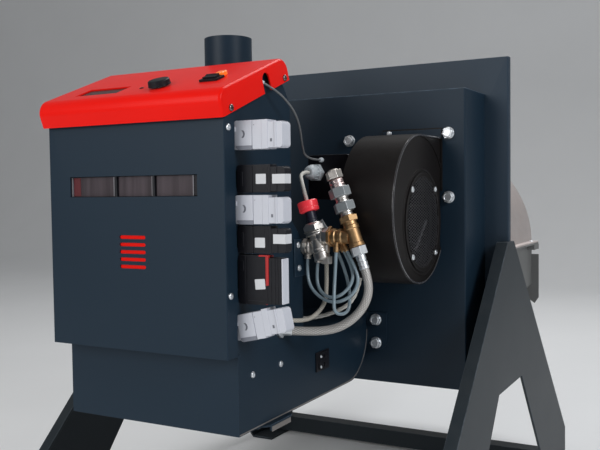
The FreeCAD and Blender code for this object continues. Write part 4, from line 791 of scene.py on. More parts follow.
def makeCord(name, cord):
    points = [tuple(round(c / 1000 + o, 6) for c, o in zip(point, drawingOrigin)) for point in cord["points"]]
    line, step = evenSteps(routeLine(name, points), cord["step"])
    verts, faces, uvs = [], [], []
    radius = cord["diameter"] / 2
    if "strands" in cord:
        count, thickness, twist = cord["strands"]
        offset = radius - thickness
        frames = carriedFrames(line)
        for k in range(count):
            strand = []
            for i, (point, (side, up)) in enumerate(zip(line, frames)):
                turn = math.tau * (k / count + i * step / twist)
                strand.append(point + side * (offset * math.cos(turn)) + up * (offset * math.sin(turn)))
            tubeInto(verts, faces, uvs, strand, thickness, cord["sides"], step)
    else:
        tubeInto(verts, faces, uvs, line, radius, cord["sides"], step, cord.get("ripple"))
    mesh = bpy.data.meshes.new(name)
    mesh.from_pydata(verts, [], faces)
    layer = mesh.uv_layers.new(name="UVMap")
    layer.uv.foreach_set("vector", [c for face in uvs for corner in face for c in corner])
    mesh.shade_smooth()
    mesh.set_sharp_from_angle(angle=math.radians(50))
    mesh.materials.append(finishes[cord["finish"]])
    piece = addPiece(name, mesh, "burner", [cord["node"]])


for name, cord in cords.items():
    makeCord(name, cord)
print("cords", len(cords))

nodeSlots = {row["node"]: row["material_slot"] for row in frame["record"]["subparts"]}
nodeBody = {}
for bodyName, members in frame["record"]["behaviour"]["bodies"].items():
    for member in members:
        nodeBody[member] = bodyName

# nodes that look other than the slot they share
ownFinish = {
    "fan_impeller": "darkZinc", "flange_plate": "platePaint", "stand_right": "standPaint",
    "stand_left": "standPaint", "stand_bars": "standPaint",
}


def dress(node, width):
    # a merged copy of a CAD node with rounded edges and its finish
    bm = bmesh.new()
    bm.from_mesh(frame["nodes"][node].data)
    bmesh.ops.remove_doubles(bm, verts=bm.verts, dist=2e-6)
    bmesh.ops.dissolve_limit(bm, angle_limit=math.radians(0.2), verts=bm.verts, edges=bm.edges)
    mesh = edgedMesh(node + "Dressed", meshFrom(node + "Copy", bm), width)
    mesh.materials.append(finishes[ownFinish.get(node, nodeSlots[node])])
    addPiece(node + "Dressed", mesh, nodeBody[node], [node])


# the width of the rounds in metres
dressed = {
    "front_cover": 0.0008, "window_bezel": 0.0005, "vent_backing": 0.0002, "cabinet_shell": 0.0005,
    "lid": 0.0005, "encoder_shaft": 0.0002, "encoder_plunger": 0.0002, "knob": 0.0004, "rocker": 0.0005,
    "lower_housing": 0.0005, "clean_out_slide": 0.0005, "power_inlet": 0.0004, "flange_box": 0.0012,
    "flange_plate": 0.0011, "boiler_gasket": 0.001, "arch_cover": 0.0006, "chamber_trough": 0.0007,
    "grate": 0.0007, "igniter": 0.0006, "auger_tube": 0.0006, "drop_tube": 0.0005, "gear_motor": 0.001,
    "fan_housing": 0.0005, "fan_impeller": 0.0002, "fan_motor": 0.0008, "terminal_box": 0.0006,
    "valve_bracket": 0.0005, "control_board": 0.0003, "stand_right": 0.0008, "stand_left": 0.0008,
    "stand_bars": 0.0008,
}
for node, width in dressed.items():
    dress(node, width)
print("dressed nodes", len(dressed))

lidSlope = {"lowEdge": (0.0, -6.0, 244.5), "degrees": 21.0}
lidTurn = Matrix.Rotation(math.radians(lidSlope["degrees"]), 4, "X")
lidFrame = Matrix.Translation(lidSlope["lowEdge"]) @ lidTurn
windowPanes = {
    "bars": ((-89.0, -25.5), (-22.5, 26.5), (29.5, 86.0)),
    "low": 166.8, "high": 188.7, "front": 4.5, "back": 7.5,
    "redLightEnd": (-88.4, -77.0), "shadedEnd": (80.6, 85.7), "reflectionStrips": (-88.6, -27.6, 25.0, 78.6), "reflectionWidth": 1.5,
}


def makeWindow():
    low, high, front, back = (windowPanes[key] for key in ("low", "high", "front", "back"))
    panes = bmesh.new()
    for x0, x1 in windowPanes["bars"]:
        outline = roundedOutline(x0 + 0.3, x1 - 0.3, low, high, 1.2)
        prismInto(panes, outline, back - front, facingFront(back))
    finishPiece("smokedPanes", panes, "smoked_pane", ["window_pane"], edge=0.4)
    # a red box in the panes' left end: painted red light
    x0, x1 = windowPanes["redLightEnd"]
    redLightEnd = ((x0, front - 0.5, low + 0.6), (x1, front + 0.5, high - 0.6))
    boxPiece("paneRedEnd", "paneRed", [redLightEnd], edge=0.2)
    # a black box over the panes' right end: painted shade of the bezel there
    x0, x1 = windowPanes["shadedEnd"]
    shadedEnd = ((x0, front - 1.6, low + 0.3), (x1, front + 0.5, high - 0.3))
    boxPiece("paneDarkEnd", "black_plastic", [shadedEnd])
    # light strips beside the bars: painted reflections in the panes
    width = windowPanes["reflectionWidth"]
    reflectionStrips = [((x, front - 2.2, low + 0.3), (x + width, front + 0.5, high - 0.3))
             for x in windowPanes["reflectionStrips"]]
    boxPiece("paneTrims", "trimGrey", reflectionStrips)


controls = {
    "screen": (-58.0, 42.0, 60.0, 28.0),
    "lamp": (-2.0, 41.0),
    "knob": (24.0, 40.0),
    "rocker": (84.0, 52.0),
    "top": 27.5, "under": 25.5,
}


def onLid(x, y, z):
    return lidFrame @ Matrix.Translation((x, y, z))


def wallsInto(bm, centre, outer, inner, low, high):
    # four walls round a rectangular hole under the lid
    (x, y), (a, b), (c, d) = centre, outer, inner
    for x0, y0, x1, y1 in ((-a, -b, -c, b), (c, -b, a, b), (-c, -b, c, -d), (-c, d, c, b)):
        boxInto(bm, (x + x0, y + y0, low), (x + x1, y + y1, high), lidFrame)


def makeDisplay():
    top, under = controls["top"], controls["under"]
    x, y, w, h = controls["screen"]
    glass = bmesh.new()
    outline = roundedOutline(x - w / 2 + 0.4, x + w / 2 - 0.4, y - h / 2 + 0.4, y + h / 2 - 0.4, 1.5)
    prismInto(glass, outline, 8.0, onLid(0, 0, top - 9.4))
    turnInto(glass, [(2.5, -6), (2.5, 0.1), (2.2, 0.6), (1.2, 0.8)], onLid(*controls["lamp"], top), 20)
    finishPiece("displayGlass", glass, "display_black", ["display_board"])
    board = bmesh.new()
    boxInto(board, (-95, 22, under - 8.1), (44, 62, under - 6.5), lidFrame)
    for px in (-91, 40):
        for py in (26, 58):
            turnInto(board, [(2.5, 0), (2.5, 8.1)], onLid(px, py, under - 8.1), 16)
    finishPiece("displayBoardCard", board, "circuit_board", ["display_board"])


def makeEncoder():
    # the can round the push contact, and the bush that holds the knob's shaft
    under = controls["under"]
    can = bmesh.new()
    wallsInto(can, controls["knob"], (6, 6), (3.2, 3.2), under - 6.5, under)
    bush = [(3.05, -1), (4.5, -1), (4.5, 2.3), (4.3, 2.5), (3.05, 2.5), (3.05, -1)]
    turnInto(can, bush, onLid(*controls["knob"], under), 24)
    finishPiece("encoderCan", can, "steel", ["display_board"], edge=0.15)


def makeRocker():
    # the switch's housing under its raised frame, and the lens beside it
    top = controls["top"]
    x, y = controls["rocker"]
    raised = onLid(0, 0, top)
    housing = bmesh.new()
    outer = roundedOutline(x - 11.5, x + 11.5, y - 8.5, y + 8.5, 1.5)
    inner = roundedOutline(x - 8.3, x + 8.3, y - 5.3, y + 5.3, 0.4)
    steps = ((outer, 0.0), (outer, 2.5), (inner, 1.9), (inner, -13.0))
    ringsInto(housing, [[raised @ Vector((a, b, z)) for a, b in outline] for outline, z in steps])
    boxInto(housing, (x - 9.5, y - 6.5, top - 17), (x + 9.5, y + 6.5, top - 13.4), lidFrame)
    wallsInto(housing, (x, y), (9.5, 6.5), (8.3, 5.3), top - 13.4, top - 0.02)
    turnInto(housing, [(0.9, 0), (0.9, 17.8)], lidFrame @ along((x - 8.9, y, top - 1.0), (1, 0, 0)), 12)
    finishPiece("rockerHousing", housing, "black_plastic", ["switch_housing"])
    lens = bmesh.new()
    prismInto(lens, roundedOutline(x - 1.0, x + 8.5, y + 8.5, y + 19.5, 1.5), 5.0, raised)
    finishPiece("signalLens", lens, "orangeLens", ["switch_housing"], edge=1.1, segments=3)


makeWindow()
makeDisplay()
makeEncoder()
makeRocker()
print("window and controls ready")

# each row: the low edge, the height and the plug's length, then the tilt in degrees of a white connector
# or, for a black one, the left and low corner of the label on its socket and of the one on its plug
connectors = {
    "side": 117.0, "front": 22.0, "back": 40.0, "blackFront": 26.0,
    "groove": 139.0, "socketEnd": 150.0, "collarEnd": 157.2,
    "white": {"plug_1": (213.5, 29.5, 24.0, 0.0), "plug_3": (137.5, 29.5, 24.0, 0.0),
              "plug_6": (15.5, 28.0, 25.0, 12.0)},
    "black": {"plug_2": (169.5, 28.5, 24.0, (140.4, 8.8, 159.6, 8.9)),
              "plug_4": (107.5, 28.0, 24.0, (138.2, 5.9, 159.8, 10.2))},
    "power": (54.5, 51.0, 18.0),
}


def crescentInto(bm, x, z, y, place):
    inner = [(x + 4.4 * math.cos(math.radians(a)) - 4.2, z + 4.2 * math.sin(math.radians(a)))
             for a in range(62, -63, -12)]
    prismInto(bm, arc((x - 2.2, z), 4.6, -62, 120, 10) + inner, 0.5, place @ facingFront(y + 0.35))


def socketInto(shell, x0, front, z, height, groove, place=Matrix()):
    # a foot in the cabinet's side, then a body in two lengths with a groove between them
    side, back, end = (connectors[key] for key in ("side", "back", "socketEnd"))
    boxInto(shell, (side, front + 1, z + 1), (side + 3, back + 0.8, z + height - 1))
    for low, high, radii in ((x0, groove - 0.35, (2.6, 0.4, 0.4, 3.2)), (groove + 0.35, end, 0.4)):
        outline = roundedOutline(low, high, z, z + height, radii)
        prismInto(shell, outline, back - front, place @ facingFront(back))
    boxInto(shell, (groove - 1, front + 0.8, z + 0.8), (groove + 1, back - 0.8, z + height - 0.8), place)


def makePlug(node, finish, front, z0, z1, length, place=Matrix(), ridge=0.7):
    # a collar as high as the socket, then a lower neck, a raised ridge and a grip with a round end
    start, neck = connectors["socketEnd"], connectors["collarEnd"]
    y0, y1 = front + 0.5, connectors["back"] - 0.5
    plug = bmesh.new()
    boxInto(plug, (start, y0 - 0.5, z0 - 1), (neck, y1 + 0.5, z1 + 2.5), place)
    boxInto(plug, (neck - 1, y0, z0), (neck + 7.4, y1, z1), place)
    boxInto(plug, (neck + 6, y0 + 0.7, z0 + 0.7), (neck + 9, y1 - 0.7, z1 - 0.7), place)
    boxInto(plug, (neck + 7.9, y0 - ridge, z0 - 0.2), (neck + 9.9, y1 + 0.8, z1 + 0.2), place)
    grip = roundedOutline(neck + 9.7, start + length, z0, z1, (0.3, 3.5, 3.5, 0.3))
    prismInto(plug, grip, y1 - y0, place @ facingFront(y1))
    for i in range(3):
        x = neck + 11.4 + i * 1.6
        for z in (z0, z1):
            boxInto(plug, (x, y0 + 2.5, z - 0.3), (x + 0.8, y1 - 2.5, z + 0.3), place)
    finishPiece(node + "Shell", plug, finish, [node], edge=0.5, segments=3)


def labelInto(bm, x, z, front, width, height, place=Matrix()):
    prismInto(bm, roundedOutline(x, x + width, z, z + height, 0.7), 0.8, place @ facingFront(front + 0.45))


def makeWhiteConnectors():
    side, front, groove, neck = (connectors[key] for key in ("side", "front", "groove", "collarEnd"))
    sockets, feet, marks = bmesh.new(), bmesh.new(), bmesh.new()
    for node, (z, height, length, tilt) in connectors["white"].items():
        centre = Vector((side + 4, front, z + height / 2))
        turn = Matrix.Rotation(math.radians(-tilt), 4, "Y")
        place = Matrix.Translation(centre) @ turn @ Matrix.Translation(-centre)
        start, lift = (side + 2, 1.6) if tilt else (side, 0.0)
        top = z + height
        socketInto(sockets, start, front, z, height, groove, place)
        boxInto(sockets, (side + 0.2, front - 1.0, top - 11), (side + 2.4, front + 1, top - 6), place)
        outline = [(side + 2.6, z + 2.2), (side + 5.2, z - 0.4), (groove, z - 0.4), (groove, z + 3.9),
                   (side + 2.6, z + 3.9)]
        prismInto(feet, outline, 4.0, place @ facingFront(front + 3.5))
        # dark inlays on socket and plug: painted shade in place of their latch recesses
        crescentInto(marks, side + 11.2, z + height * 0.53, front, place)
        dot = along((groove + 2.2, front + 0.15, top - 5), (0, -1, 0))
        turnInto(marks, [(0.5, 0), (0.5, 0.3)], place @ dot, 10)
        latch = z + 7.0 + lift
        boxInto(marks, (neck + 2.8, front + 0.35, latch), (neck + 5.0, front + 1, latch + 3.2), place)
        makePlug(node, "white_plastic", front, z + 1 + lift, top - 2.5 + lift, length, place)
    finishPiece("whiteSocketShells", sockets, "white_plastic", ["white_sockets"], edge=0.7, segments=3)
    finishPiece("socketFeet", feet, "footGrey")
    finishPiece("latchMarks", marks, "latchShade", edge=0.1)


def blackRowInto(dark, labels, node):
    side, groove, front, back = (connectors[key] for key in ("side", "groove", "blackFront", "back"))
    z, height, length, (x, low, plugX, plugLow) = connectors["black"][node]
    end = connectors["socketEnd"] + length
    socketInto(dark, side, front, z, height, groove - 3)
    boxInto(dark, (side + 5, front - 0.7, z + 7), (side + 8, front + 1, z + height - 7))
    boxInto(dark, (groove + 14.6, front - 0.4, z + 2), (groove + 15.4, front + 1, z + height - 2))
    makePlug(node, "black_plastic", front, z + 1, z + height - 2.5, length, ridge=-0.1)
    labelInto(labels, x, z + low, front, 12.0, 10.2)
    # the plug's label runs over its front face and round its end
    low, high = z + plugLow, z + plugLow + 9.6
    boxInto(labels, (plugX, front - 0.1, low), (end + 0.35, front + 0.7, high))
    boxInto(labels, (end - 0.4, front + 0.2, low), (end + 0.35, back - 1.6, high))


def powerSocketInto(dark, labels):
    side, groove, front, end = (connectors[key] for key in ("side", "groove", "blackFront", "socketEnd"))
    z, height = connectors["power"][:2]
    socketInto(dark, side, front, z, height, groove - 12)
    boxInto(dark, (groove - 10, front - 0.6, z + 3.5), (end - 1, front + 1, z + 4.5))
    boxInto(dark, (end - 1, front - 0.1, z + 1), (end + 2.4, front + 0.8, z + 20))
    boxInto(dark, (side + 3, front - 0.5, z + height - 16), (groove - 14.5, front + 1, z + height - 6))
    tilted = Matrix.Translation((138.2, 0, z + 15.6)) @ Matrix.Rotation(math.radians(-5), 4, "Y")
    labelInto(labels, 0, 0, front, 12.0, 10.6, tilted)


def makePowerPlug():
    front, back, end = (connectors[key] for key in ("blackFront", "back", "socketEnd"))
    z, height, length = connectors["power"]
    top, start = z + height, end + 2
    boxPiece("powerPlugSeal", "red_gasket", [
        ((end, front + 0.3, z + 0.5), (end + 2, back - 0.3, top - 0.5)),
        ((end + 2.3, front - 0.6, z + 20.5), (end + 3.9, front + 3, top - 0.6)),
        ((end - 7.5, front - 0.6, top - 1.2), (end + 4.4, front + 5, top + 0.3))], ["plug_gasket"])
    ridges = [((start + x0, front + 0.5, z + 1), (start + x1, back - 0.5, top - 2.5))
              for x0, x1 in ((0.2, 4.6), (5.4, 9.2), (10.0, 12.4), (13.2, 15.6))]
    core = ((start, front + 1.0, z + 1.4), (end + length + 1.4, back - 1.0, top - 2.9))
    boxPiece("plug_5Grip", "black_plastic", [core, *ridges], ["plug_5"], edge=0.4)
    cap = ((start + 16.4, front + 0.9, z + 1.6), (start + length, back - 0.6, top - 3.1))
    boxPiece("plug_5Cap", "white_plastic", [cap], ["plug_5"], edge=0.5, segments=3)


def makeBlackConnectors():
    dark, labels = bmesh.new(), bmesh.new()
    for node in connectors["black"]:
        blackRowInto(dark, labels, node)
    powerSocketInto(dark, labels)
    finishPiece("blackSocketShells", dark, "black_plastic", ["black_sockets"], edge=0.7, segments=3)
    finishPiece("plainLabels", labels, "blankLabel", edge=0.15)


makeWhiteConnectors()
makeBlackConnectors()
makePowerPlug()
print("connectors ready")


def cordEnd(name, last=False):
    # a cord's end in millimetres, and the direction in which it runs into its fitting
    points = cords[name]["points"][::-1] if last else cords[name]["points"]
    end, inner = Vector(points[0]), Vector(points[1])
    return end, end - inner


# the lines that the fittings of the compressed-air group stand on: a point and a direction
valveLines = {
    "sensor": ((139.5, 166.0, 105.5), (-0.282, 0.0, 0.9594)),
    "tee": ((189.0, 166.0, 105.6), (-0.33, 0.0, 0.944)),
    "inlet": ((119.0, 166.0, 104.0), (1.0, 0.0, 0.0)),
    "branch": ((139.5, 166.0, 117.0), (1.0, 0.0, 0.0)),
    "leftPort": cordEnd("outerTube"),
    "middlePort": cordEnd("innerTube"),
    "rightPort": ((148.4, 167.0, 93.0), (0.0, 0.0, 1.0)),
    "firstTube": cordEnd("outerTube", True),
    "secondTube": cordEnd("innerTube", True),
    "thirdTube": cordEnd("middleTube"),
    "fourthTube": cordEnd("middleTube", True),
    "lever": ((154.5, 165.0, 119.5), (-0.56, 0.0, 0.83)),
}
tubeNipple = [(2.6, 0), (3.2, 0.6), (3.2, 5), (2.7, 5.6), (2.7, 12)]
# turned rows: line, distance along it, (radius, height) points, steps when not 36
# hexagon rows: line, distance along it, width over flats, length, turn in degrees
# box rows: line, low corner and high corner measured on it
# wall ends: the cord whose last nipple goes into the cabinet's side, the nipple's radius
fittings = {
    "valveBodyMetal": {
        "node": "valve_body", "finish": "nickel", "edge": 0.35,
        "turned": [
            ("sensor", -17, [(7.4, 0), (9.3, 1.6), (9.5, 4), (9.5, 9), (8.5, 10), (8.5, 13), (9.5, 14.2),
                             (9.5, 24), (8.2, 26), (8.2, 29.4), (12.3, 30.6), (12.3, 32.6), (8.6, 33)]),
            ("sensor", 16.2, [(11.6, 0), (12.0, 0.5), (12.0, 1.6), (10.2, 2.4)]),
            ("sensor", 24.8, [(11.2, 0), (11.2, 1.4), (9.6, 2.8), (9.6, 3.4)]),
            ("inlet", 0, [(8, 0), (8, 7), (9.2, 8), (9.2, 10), (7.6, 11), (7.6, 20)]),
            ("branch", 0, [(8, 0), (9.4, 2.5), (9.6, 4.5), (9.2, 6.6), (7.6, 7), (7.6, 13.4)]),
            ("leftPort", 0, [(3.5, 0), (4.4, 0.8), (4.4, 3.5), (3.8, 4), (4.7, 5), (4.7, 9.5), (4.1, 10),
                             (4.1, 14)], 24),
            ("middlePort", 0, [(3.3, 0), (4.2, 0.8), (4.2, 3.5), (3.6, 4), (4.5, 5), (4.5, 9.5), (3.9, 10),
                               (3.9, 14)], 24),
            ("rightPort", 0, [(4.4, 0), (4.4, 3), (3.8, 3.6), (3.8, 5), (4.4, 5.6), (4.4, 14)], 24)],
        "hexes": [("sensor", 18.6, 25, 6.4, 0), ("inlet", 0.2, 17, 5.6, 0), ("branch", 7.7, 19, 5.6, 0),
                  ("rightPort", -8, 12, 8.6, 12)]},
    "valveLever": {
        "finish": "greyHex", "edge": 0.5,
        "boxes": [("lever", (-1.7, -1.0, -2.0), (1.7, 1.0, 20.0))]},
    "sensorStem": {
        "node": "pressure_sensor", "finish": "darkStem", "edge": 0.3,
        "turned": [("sensor", 28, [(6.5, 0), (6.5, 3), (5.9, 3.4), (5.9, 4.4), (6.5, 4.8), (6.5, 14)], 28)]},
    "sensorCap": {
        "node": "pressure_sensor", "finish": "red_cap", "edge": 0.3,
        "turned": [("sensor", 42, [(10.8, 0), (11.9, 1.0), (12, 4), (11.6, 4.4), (11.6, 5.2), (12, 5.6),
                                   (12, 11.6), (11.2, 12.7), (9.5, 13), (4.2, 13), (3.4, 12.6)], 40)]},
    "brassTee": {
        "node": "brass_tee", "finish": "brass", "edge": 0.35,
        "turned": [
            ("tee", 0, [(8.0, 0), (9.0, 0.8), (9.0, 4.4), (8.2, 5.2), (8.2, 21), (9.0, 22), (9.0, 25.4),
                        (8.2, 26.4), (8.2, 30), (8.6, 38)]),
            ("branch", 13.5, [(9.0, 0), (9.5, 1.0), (9.5, 9.5), (8.4, 10.5), (8.4, 12.5), (9.3, 13.5),
                              (9.3, 17.5), (8.3, 19), (8.3, 27)]),
            ("firstTube", 0, tubeNipple, 20), ("secondTube", 0, tubeNipple, 20),
            ("thirdTube", 0, tubeNipple, 20), ("fourthTube", 0, tubeNipple, 20)],
        "hexes": [("tee", 30.4, 20, 6.2, 0), ("branch", 13.7, 21, 3.6, 0)]},
    "checkValveRings": {
        "node": "check_valve", "finish": "nickel", "edge": 0.35,
        "turned": [
            ("tee", 38, [(7.5, 0), (7.5, 1.6), (6.9, 2.1), (6.9, 3), (7.5, 3.5), (7.5, 6)]),
            ("tee", 53.4, [(8, 0), (8, 2.4), (7.3, 3), (7.3, 4.4), (8, 5), (8, 8)]),
            ("tee", 91.6, [(6.6, 0), (6.6, 1.2), (5.0, 2.2)])],
        "hexes": [("tee", 82.4, 17, 9.4, 14)]},
    "checkValveNuts": {
        "node": "check_valve", "finish": "greyHex", "edge": 0.6,
        "turned": [("tee", 43.0, [(10.4, 0), (10.4, 11.0)]), ("tee", 60.2, [(10.4, 0), (10.4, 11.6)])],
        "hexes": [("tee", 43.4, 22, 10.2, 8), ("tee", 60.6, 22, 10.8, 20)]},
    "checkValveCollar": {
        "node": "check_valve", "finish": "pinkNickel", "edge": 0.3,
        "turned": [("tee", 71.2, [(8.5, 0), (8.5, 4), (8.0, 4.6), (8.0, 5.4), (8.5, 6), (8.5, 9.4),
                                  (7.4, 10.8)])]},
    "hoseEndFittings": {
        "node": "hose_fittings", "finish": "zinc", "edge": 0.3,
        "turned": [("tee", -26.8, [(5.4, 0), (5.8, 0.6), (5.8, 3), (5.3, 3.6), (5.3, 5), (5.8, 5.6),
                                   (5.8, 8.6), (5.3, 9.2), (5.3, 10.6), (5.8, 11.2), (5.8, 17)], 28)],
        "hexes": [("tee", -9.8, 17, 9.6, 6)],
        "wallEnds": [("bigHoseBraid", 5.8), ("thinHoseBraid", 3.2)]},
}


def wallEndInto(bm, cord, radius):
    # a hose's last nipple, run on to the cabinet's side, with a nut there
    end, direction = cordEnd(cord, True)
    side = connectors["side"]
    foot = end - direction * ((end.x - side) / direction.x)
    reach = (foot - end).length - 1
    turnInto(bm, [(radius - 0.6, 0), (radius, 0.6), (radius, reach)], along(end, direction), 24)
    hexInto(bm, (side + 0.1, foot.y, foot.z), (1, 0, 0), 2 * radius + 4, 3.8)


def makeFitting(name, row):
    bm = bmesh.new()
    for line, distance, points, *steps in row.get("turned", ()):
        start, direction = (Vector(v) for v in valveLines[line])
        turnInto(bm, points, along(start + direction.normalized() * distance, direction), *steps)
    for line, distance, flats, length, spin in row.get("hexes", ()):
        start, direction = (Vector(v) for v in valveLines[line])
        hexInto(bm, start + direction.normalized() * distance, direction, flats, length, spin)
    for line, low, high in row.get("boxes", ()):
        boxInto(bm, low, high, along(*valveLines[line]))
    for cord, radius in row.get("wallEnds", ()):
        wallEndInto(bm, cord, radius)
    finishPiece(name, bm, row["finish"], [row["node"]] if "node" in row else (), edge=row["edge"])


def makeGlands():
    back = (0, 1, 0)
    gland = bmesh.new()
    x, y, z = cords["sensorLead"]["points"][-1]
    hexInto(gland, (x, 224.2, z), back, 20, 5.8)
    turnInto(gland, [(9.8, 22), (9.8, 16.4), (9.0, 15.6), (9.0, 7), (8.4, 4), (6.4, 0.8), (5.4, 0), (2.9, 0),
                     (2.6, 0.8), (2.6, 5)], along((x, y, z), back), 40)
    for ribX, ribZ in arc((x, z), 9.0, 0, 360, 12)[:-1]:
        turnInto(gland, [(0, 0), (0.8, 0.6), (0.9, 7.4), (0, 8)], along((ribX, y + 7.5, ribZ), back), 8)
    grommet = along(cords["lidLead"]["points"][-1], back)
    turnInto(gland, [(1.6, 0), (2.4, 1.0), (3.0, 1.6), (3.0, 5.8)], grommet, 20)
    finishPiece("cableGlands", gland, "grey_plastic", ["cable_gland"])
    bush = bmesh.new()
    turnInto(bush, [(4.5, 0), (4.5, 1.6), (3.4, 2.9)], along((70.0, 140.1, 14.0), back), 24)
    turnInto(bush, [(2.2, 0.2), (2.2, 5.0)], along(*cordEnd("lidLead")), 20)
    finishPiece("leadBushes", bush, "grey_plastic", ["cable_gland"], edge=0.2)


for name, row in fittings.items():
    makeFitting(name, row)
makeGlands()
print("valves and glands ready")

fan = {
    "face": 223.0, "centre": (280.0, 145.5), "radius": 93.5, "back": 354.0, "wheel": (288.0, 129.0),
    "seamRadius": 1.5, "seamInset": 1.4, "bandCorners": (45, 135, 225, 315),
    "guard": {"Radius": 58.0, "Cell Long": 9.6, "Cell High": 3.7, "Strand": 0.85, "Thickness": 0.35},
}


def paintedInto(tree, grown, given, result):
    # the end of both Geometry Nodes trees: real meshes in the given finish
    real = addNode(tree, "GeometryNodeRealizeInstances", {"Geometry": grown.outputs[0]})
    painted = addNode(tree, "GeometryNodeSetMaterial", {"Geometry": real.outputs[0],
                                                        "Material": given["Finish"]})
    tree.links.new(painted.outputs[0], result["Geometry"])


def makeGuardTree():
    # expanded metal: a turned and stretched grid, cut to a circle, its edges thickened
    tree, given, result = newGroup("expandedMetal", [
        ("Radius", "Float", 0.055), ("Cell Long", "Float", 0.0084), ("Cell High", "Float", 0.0039),
        ("Strand", "Float", 0.0009), ("Thickness", "Float", 0.0008), ("Finish", "Material", None)],
        [("Geometry", "Geometry")], "GeometryNodeTree")
    reach = mathNode(tree, "MULTIPLY", mathNode(tree, "MULTIPLY", given["Radius"], 2.0), 1.5)
    cells = mathNode(tree, "CEIL", mathNode(tree, "DIVIDE", reach, given["Cell High"]))
    count = mathNode(tree, "ADD", cells, 1.0)
    grid = addNode(tree, "GeometryNodeMeshGrid", {"Size X": cells, "Size Y": cells, "Vertices X": count,
                                                  "Vertices Y": count})
    turned = addNode(tree, "GeometryNodeTransform", {"Geometry": grid.outputs["Mesh"],
                                                     "Rotation": (0.0, 0.0, math.pi / 4)})
    share = 1 / math.sqrt(2)
    long, high = (mathNode(tree, "MULTIPLY", given[label], share) for label in ("Cell Long", "Cell High"))
    stretch = addNode(tree, "ShaderNodeCombineXYZ", {0: long, 1: high, 2: 1.0})
    stretched = addNode(tree, "GeometryNodeTransform", {"Geometry": turned.outputs[0],
                                                        "Scale": stretch.outputs[0]})
    spot = tree.nodes.new("GeometryNodeInputPosition").outputs[0]
    distance = addNode(tree, "ShaderNodeVectorMath", {0: spot}, operation="LENGTH").outputs["Value"]
    outside = addNode(tree, "FunctionNodeCompare", {0: distance, 1: given["Radius"]}, data_type="FLOAT",
                      operation="GREATER_THAN")
    cut = addNode(tree, "GeometryNodeDeleteGeometry", {"Geometry": stretched.outputs[0],
                                                       "Selection": outside.outputs[0]}, domain="POINT")
    strands = addNode(tree, "GeometryNodeMeshToCurve", {"Mesh": cut.outputs[0]})
    section = addNode(tree, "GeometryNodeCurvePrimitiveQuadrilateral", {"Width": given["Thickness"],
                                                                       "Height": given["Strand"]})
    solid = addNode(tree, "GeometryNodeCurveToMesh", {"Curve": strands.outputs[0],
                                                      "Profile Curve": section.outputs[0], "Fill Caps": True})
    paintedInto(tree, solid, given, result)
    return tree


def grownMesh(name, tree, start, values):
    # runs a Geometry Nodes tree once on a start mesh and gives the plain mesh
    worker = putInScene(name + "Grown", start)
    modifier = worker.modifiers.new("grow", "NODES")
    modifier.node_group = tree
    for item in tree.interface.items_tree:
        if item.in_out == "INPUT" and item.name in values:
            modifier[item.identifier] = values[item.name]
    return plainMesh(name, worker)


def makeGuardRims(onFace):
    band, dish = bmesh.new(), bmesh.new()
    rim = [(56.6, 0.2), (62.0, 0.2), (62.0, 1.6), (61.4, 2.0), (57.4, 2.0), (56.6, 1.4), (56.6, 0.2)]
    turnInto(band, rim, onFace, 72)
    for a in fan["bandCorners"]:
        turn = math.radians(a)
        corner = onFace @ Matrix.Translation((57.0 * math.cos(turn), 57.0 * math.sin(turn), 0))
        turnInto(band, [(6.0, 0.2), (6.0, 1.8), (5.7, 2.0)], corner, 24)
    finishPiece("guardBand", band, "gloss_black", ["fan_guard"], edge=0.25)
    turnInto(dish, [(64.2, 0.0), (65.0, 0.8), (66.0, 1.1), (67.0, 0.8), (67.8, 0.0), (64.2, 0.0)], onFace, 72)
    finishPiece("faceDishRim", dish, "gloss_black", edge=0.1)


def makeSeam():
    # the rolled seam round the drum's face, open where the outlet duct leaves; its black is lightened as a
    # painted highlight
    face, radius = fan["face"] + 0.4, fan["radius"] - fan["seamInset"]
    line = [(fan["back"] - 1, fan["centre"][1] + radius), *arc(fan["centre"], radius, 90, 232, 72)]
    seam = bmesh.new()
    bandInto(seam, line, arc((face, 0), fan["seamRadius"], 0, 360, 12)[:-1])
    finishPiece("rolledSeam", seam, "seamBlack", edge=0.1, angle=60)


def makePlateAndStrut():
    # anthracite over the outlet flange below its top edge; the black edge left above it is painted shade of
    # the gap there
    boxPiece("outletPlateFront", "anthracite", [((142.6, 353.5, 237.0), (225.4, 354.3, 249.2))], edge=0.2)
    low, high = (Vector((fan["face"] - 0.2, y, z)) for y, z in ((262.0, 95.9), (302.2, 131.2)))
    place = along(low, high - low) @ Matrix.Rotation(math.radians(45), 4, "Z")
    strut = ((-1.6, -0.4, 0.0), (1.6, 0.4, (high - low).length), place)
    # the guard's strut, in the seam's lightened black
    boxPiece("guardStrut", "seamBlack", [strut], edge=0.2)


def makeGuardMesh():
    wy, wz = fan["wheel"]
    values = {label: value / 1000 for label, value in fan["guard"].items()}
    values["Finish"] = finishes["meshBlack"]
    mesh = grownMesh("guardMesh", makeGuardTree(), bpy.data.meshes.new("guardStart"), values)
    upright = Matrix(((0, 0, 1, fan["face"] + 0.9), (1, 0, 0, wy), (0, 1, 0, wz), (0, 0, 0, 1)))
    mesh.transform(toRow @ upright @ Matrix.Scale(1000.0, 4))
    addPiece("guardMesh", mesh, "burner", ["fan_guard"])


makeGuardRims(Matrix.Translation((fan["face"], *fan["wheel"])) @ Matrix.Rotation(math.radians(90), 4, "Y"))
makeSeam()
makePlateAndStrut()
makeGuardMesh()
print("fan ready")

hem = {
    "side": 116.35, "front": 25.0, "bottom": -85.2, "back": 353.0, "corner": 61.0, "height": 1.5,
    "grip": ((122.3, 81.0, -94.4), (122.7, 123.0, -88.6)),
}


